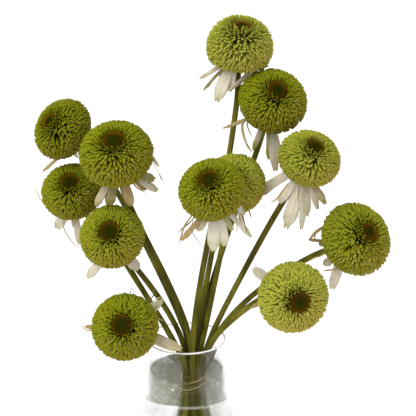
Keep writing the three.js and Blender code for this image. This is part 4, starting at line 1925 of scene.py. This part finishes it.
@dataclass
class Leaf:
    """The scrap of leaf standing in the neck."""

    root: tuple[float, float, float] = (13.9, -7.2, 130)
    bend: tuple[float, float, float] = (15.5, -9.8, 141)
    tip: tuple[float, float, float] = (25, -7, 154)
    side: tuple[float, float, float] = (0.86, 0.5, 0)
    width: float = 7
    twist: float = 0.3
    thickness: float = 0.5
    columns: int = 10
    rows: int = 20

    def build(self) -> bpy.types.Object:
        """Builds the leaf.

        Returns:
            The finished piece.
        """
        blade = model_blade(self.columns, self.rows)
        across, share, _ = blade.points.T.copy()
        taper = 1 - np.clip((share - 0.55) / 0.45, 0, 1) ** 1.6
        breadth = 0.3 + 0.7 * np.sin(math.pi * 0.62 * share) * taper
        blade.points[:, 0] = across * breadth
        blade.points[:, 2] = 0.22 * np.abs(across) * breadth + 0.03 * np.sin(9 * share) * across
        run = Runs.single((self.root, self.bend, self.tip, self.side), self.width, self.twist)
        points = run.laid(blade)[0] * MM
        piece = mesh_object("leaf_scrap", points, blade.faces, {"along": share, "across": across})
        thicken(piece, self.thickness)
        return piece


@dataclass
class Studio:
    """The floor, the lights and the camera, with places in metres."""

    camera_at: tuple[float, float, float] = (0.018, -0.9025, 0.5476)
    target: tuple[float, float, float] = (0.018, 0, 0.2717)
    lens: float = 102.08
    sensor: float = 36
    floor_size: float = 24
    floor_drop: float = 0.0005
    world: float = 0.85
    sun: float = 1.7
    sun_spread: float = 50
    sun_at: tuple[float, float, float] = (-0.55, -0.5, 1.3)
    lamp: float = 4
    lamp_size: float = 0.9
    lamp_at: tuple[float, float, float] = (-0.7, -1.1, 0.9)

    def floor(self) -> None:
        """Lays the floor."""
        deselect_all()
        bpy.ops.mesh.primitive_plane_add(size=self.floor_size, location=(0, 0, -self.floor_drop))
        floor = bpy.context.object
        floor.name = "floor"
        floor.data.materials.append(FloorFinish().material())

    def light(self) -> None:
        """Sets a pale world, a soft sun from the upper left and a wide lamp in front."""
        world = bpy.data.worlds.new("studio")
        bpy.context.scene.world = world
        world.use_nodes = True
        background = world.node_tree.nodes["Background"]
        background.inputs["Color"].default_value = (1, 1, 1, 1)
        background.inputs["Strength"].default_value = self.world
        sun = bpy.data.lights.new("sun", "SUN")
        sun.energy = self.sun
        sun.angle = math.radians(self.sun_spread)
        self.aimed("sun", sun, self.sun_at)
        lamp = bpy.data.lights.new("lamp", "AREA")
        lamp.energy = self.lamp
        lamp.size = self.lamp_size
        self.aimed("lamp", lamp, self.lamp_at)

    def aimed(self, name: str, data: bpy.types.ID, place: Sequence[float]) -> bpy.types.Object:
        """Puts a light or a camera at a place, looking at the target.

        Args:
            name: The object's name.
            data: The light or the camera.
            place: Where it stands.

        Returns:
            The new object.
        """
        item = linked(name, data)
        item.location = place
        heading = Vector(self.target) - Vector(place)
        item.rotation_euler = heading.to_track_quat("-Z", "Y").to_euler()
        return item

    def camera(self) -> None:
        """Puts the camera where the photograph was taken from."""
        data = bpy.data.cameras.new("camera")
        data.sensor_width = self.sensor
        data.lens = self.lens
        bpy.context.scene.camera = self.aimed("camera", data, self.camera_at)

    def build(self) -> None:
        """Sets up the studio."""
        bpy.context.scene.view_settings.view_transform = "Standard"
        self.camera()
        self.floor()
        self.light()


def main() -> None:
    """Builds the studio, the vase and the bunch, and reports each piece."""
    logging.basicConfig(level=logging.INFO, format="%(name)s: %(message)s")
    Studio().build()
    draw = np.random.default_rng(7)
    vase = Vase()
    glass, water = vase.build(), Water().build(vase)
    install(glass, GlassFinish().material(), "glass", "vase")
    install(water, WaterFinish().material(), "water", "water")
    glass.visible_shadow = water.visible_shadow = False
    install(Tie().build(), TwineFinish().material(), "tie", "tie_string")
    install(Leaf().build(), LeafFinish().material(), "leaf", "leaf")
    petal_tissue = PetalFinish().material()
    curls = Curls()
    makers: list[tuple[object, bpy.types.Material, str, str | None]] = [
        (FloretHead(), FloretFinish().material(), "florets", "florets"),
        (BristleCone(), ConeFinish().material(), "cone", "cone"),
        (PetalSkirt(), petal_tissue, "petals", "petals"),
        (Calyx(), BractFinish().material(), "stem", None),
        (Stem(), StemFinish().material(), "stem", "stem"),
    ]
    for bloom in BLOOMS:
        for maker, material, slot, part in makers:
            nodes = [bloom.node(part)] if part else []
            install(maker.build(bloom, draw), material, slot, *nodes)
        if bloom.curls:
            install(curls.build(bloom), petal_tissue, "petals")


if __name__ == "__main__":
    main()
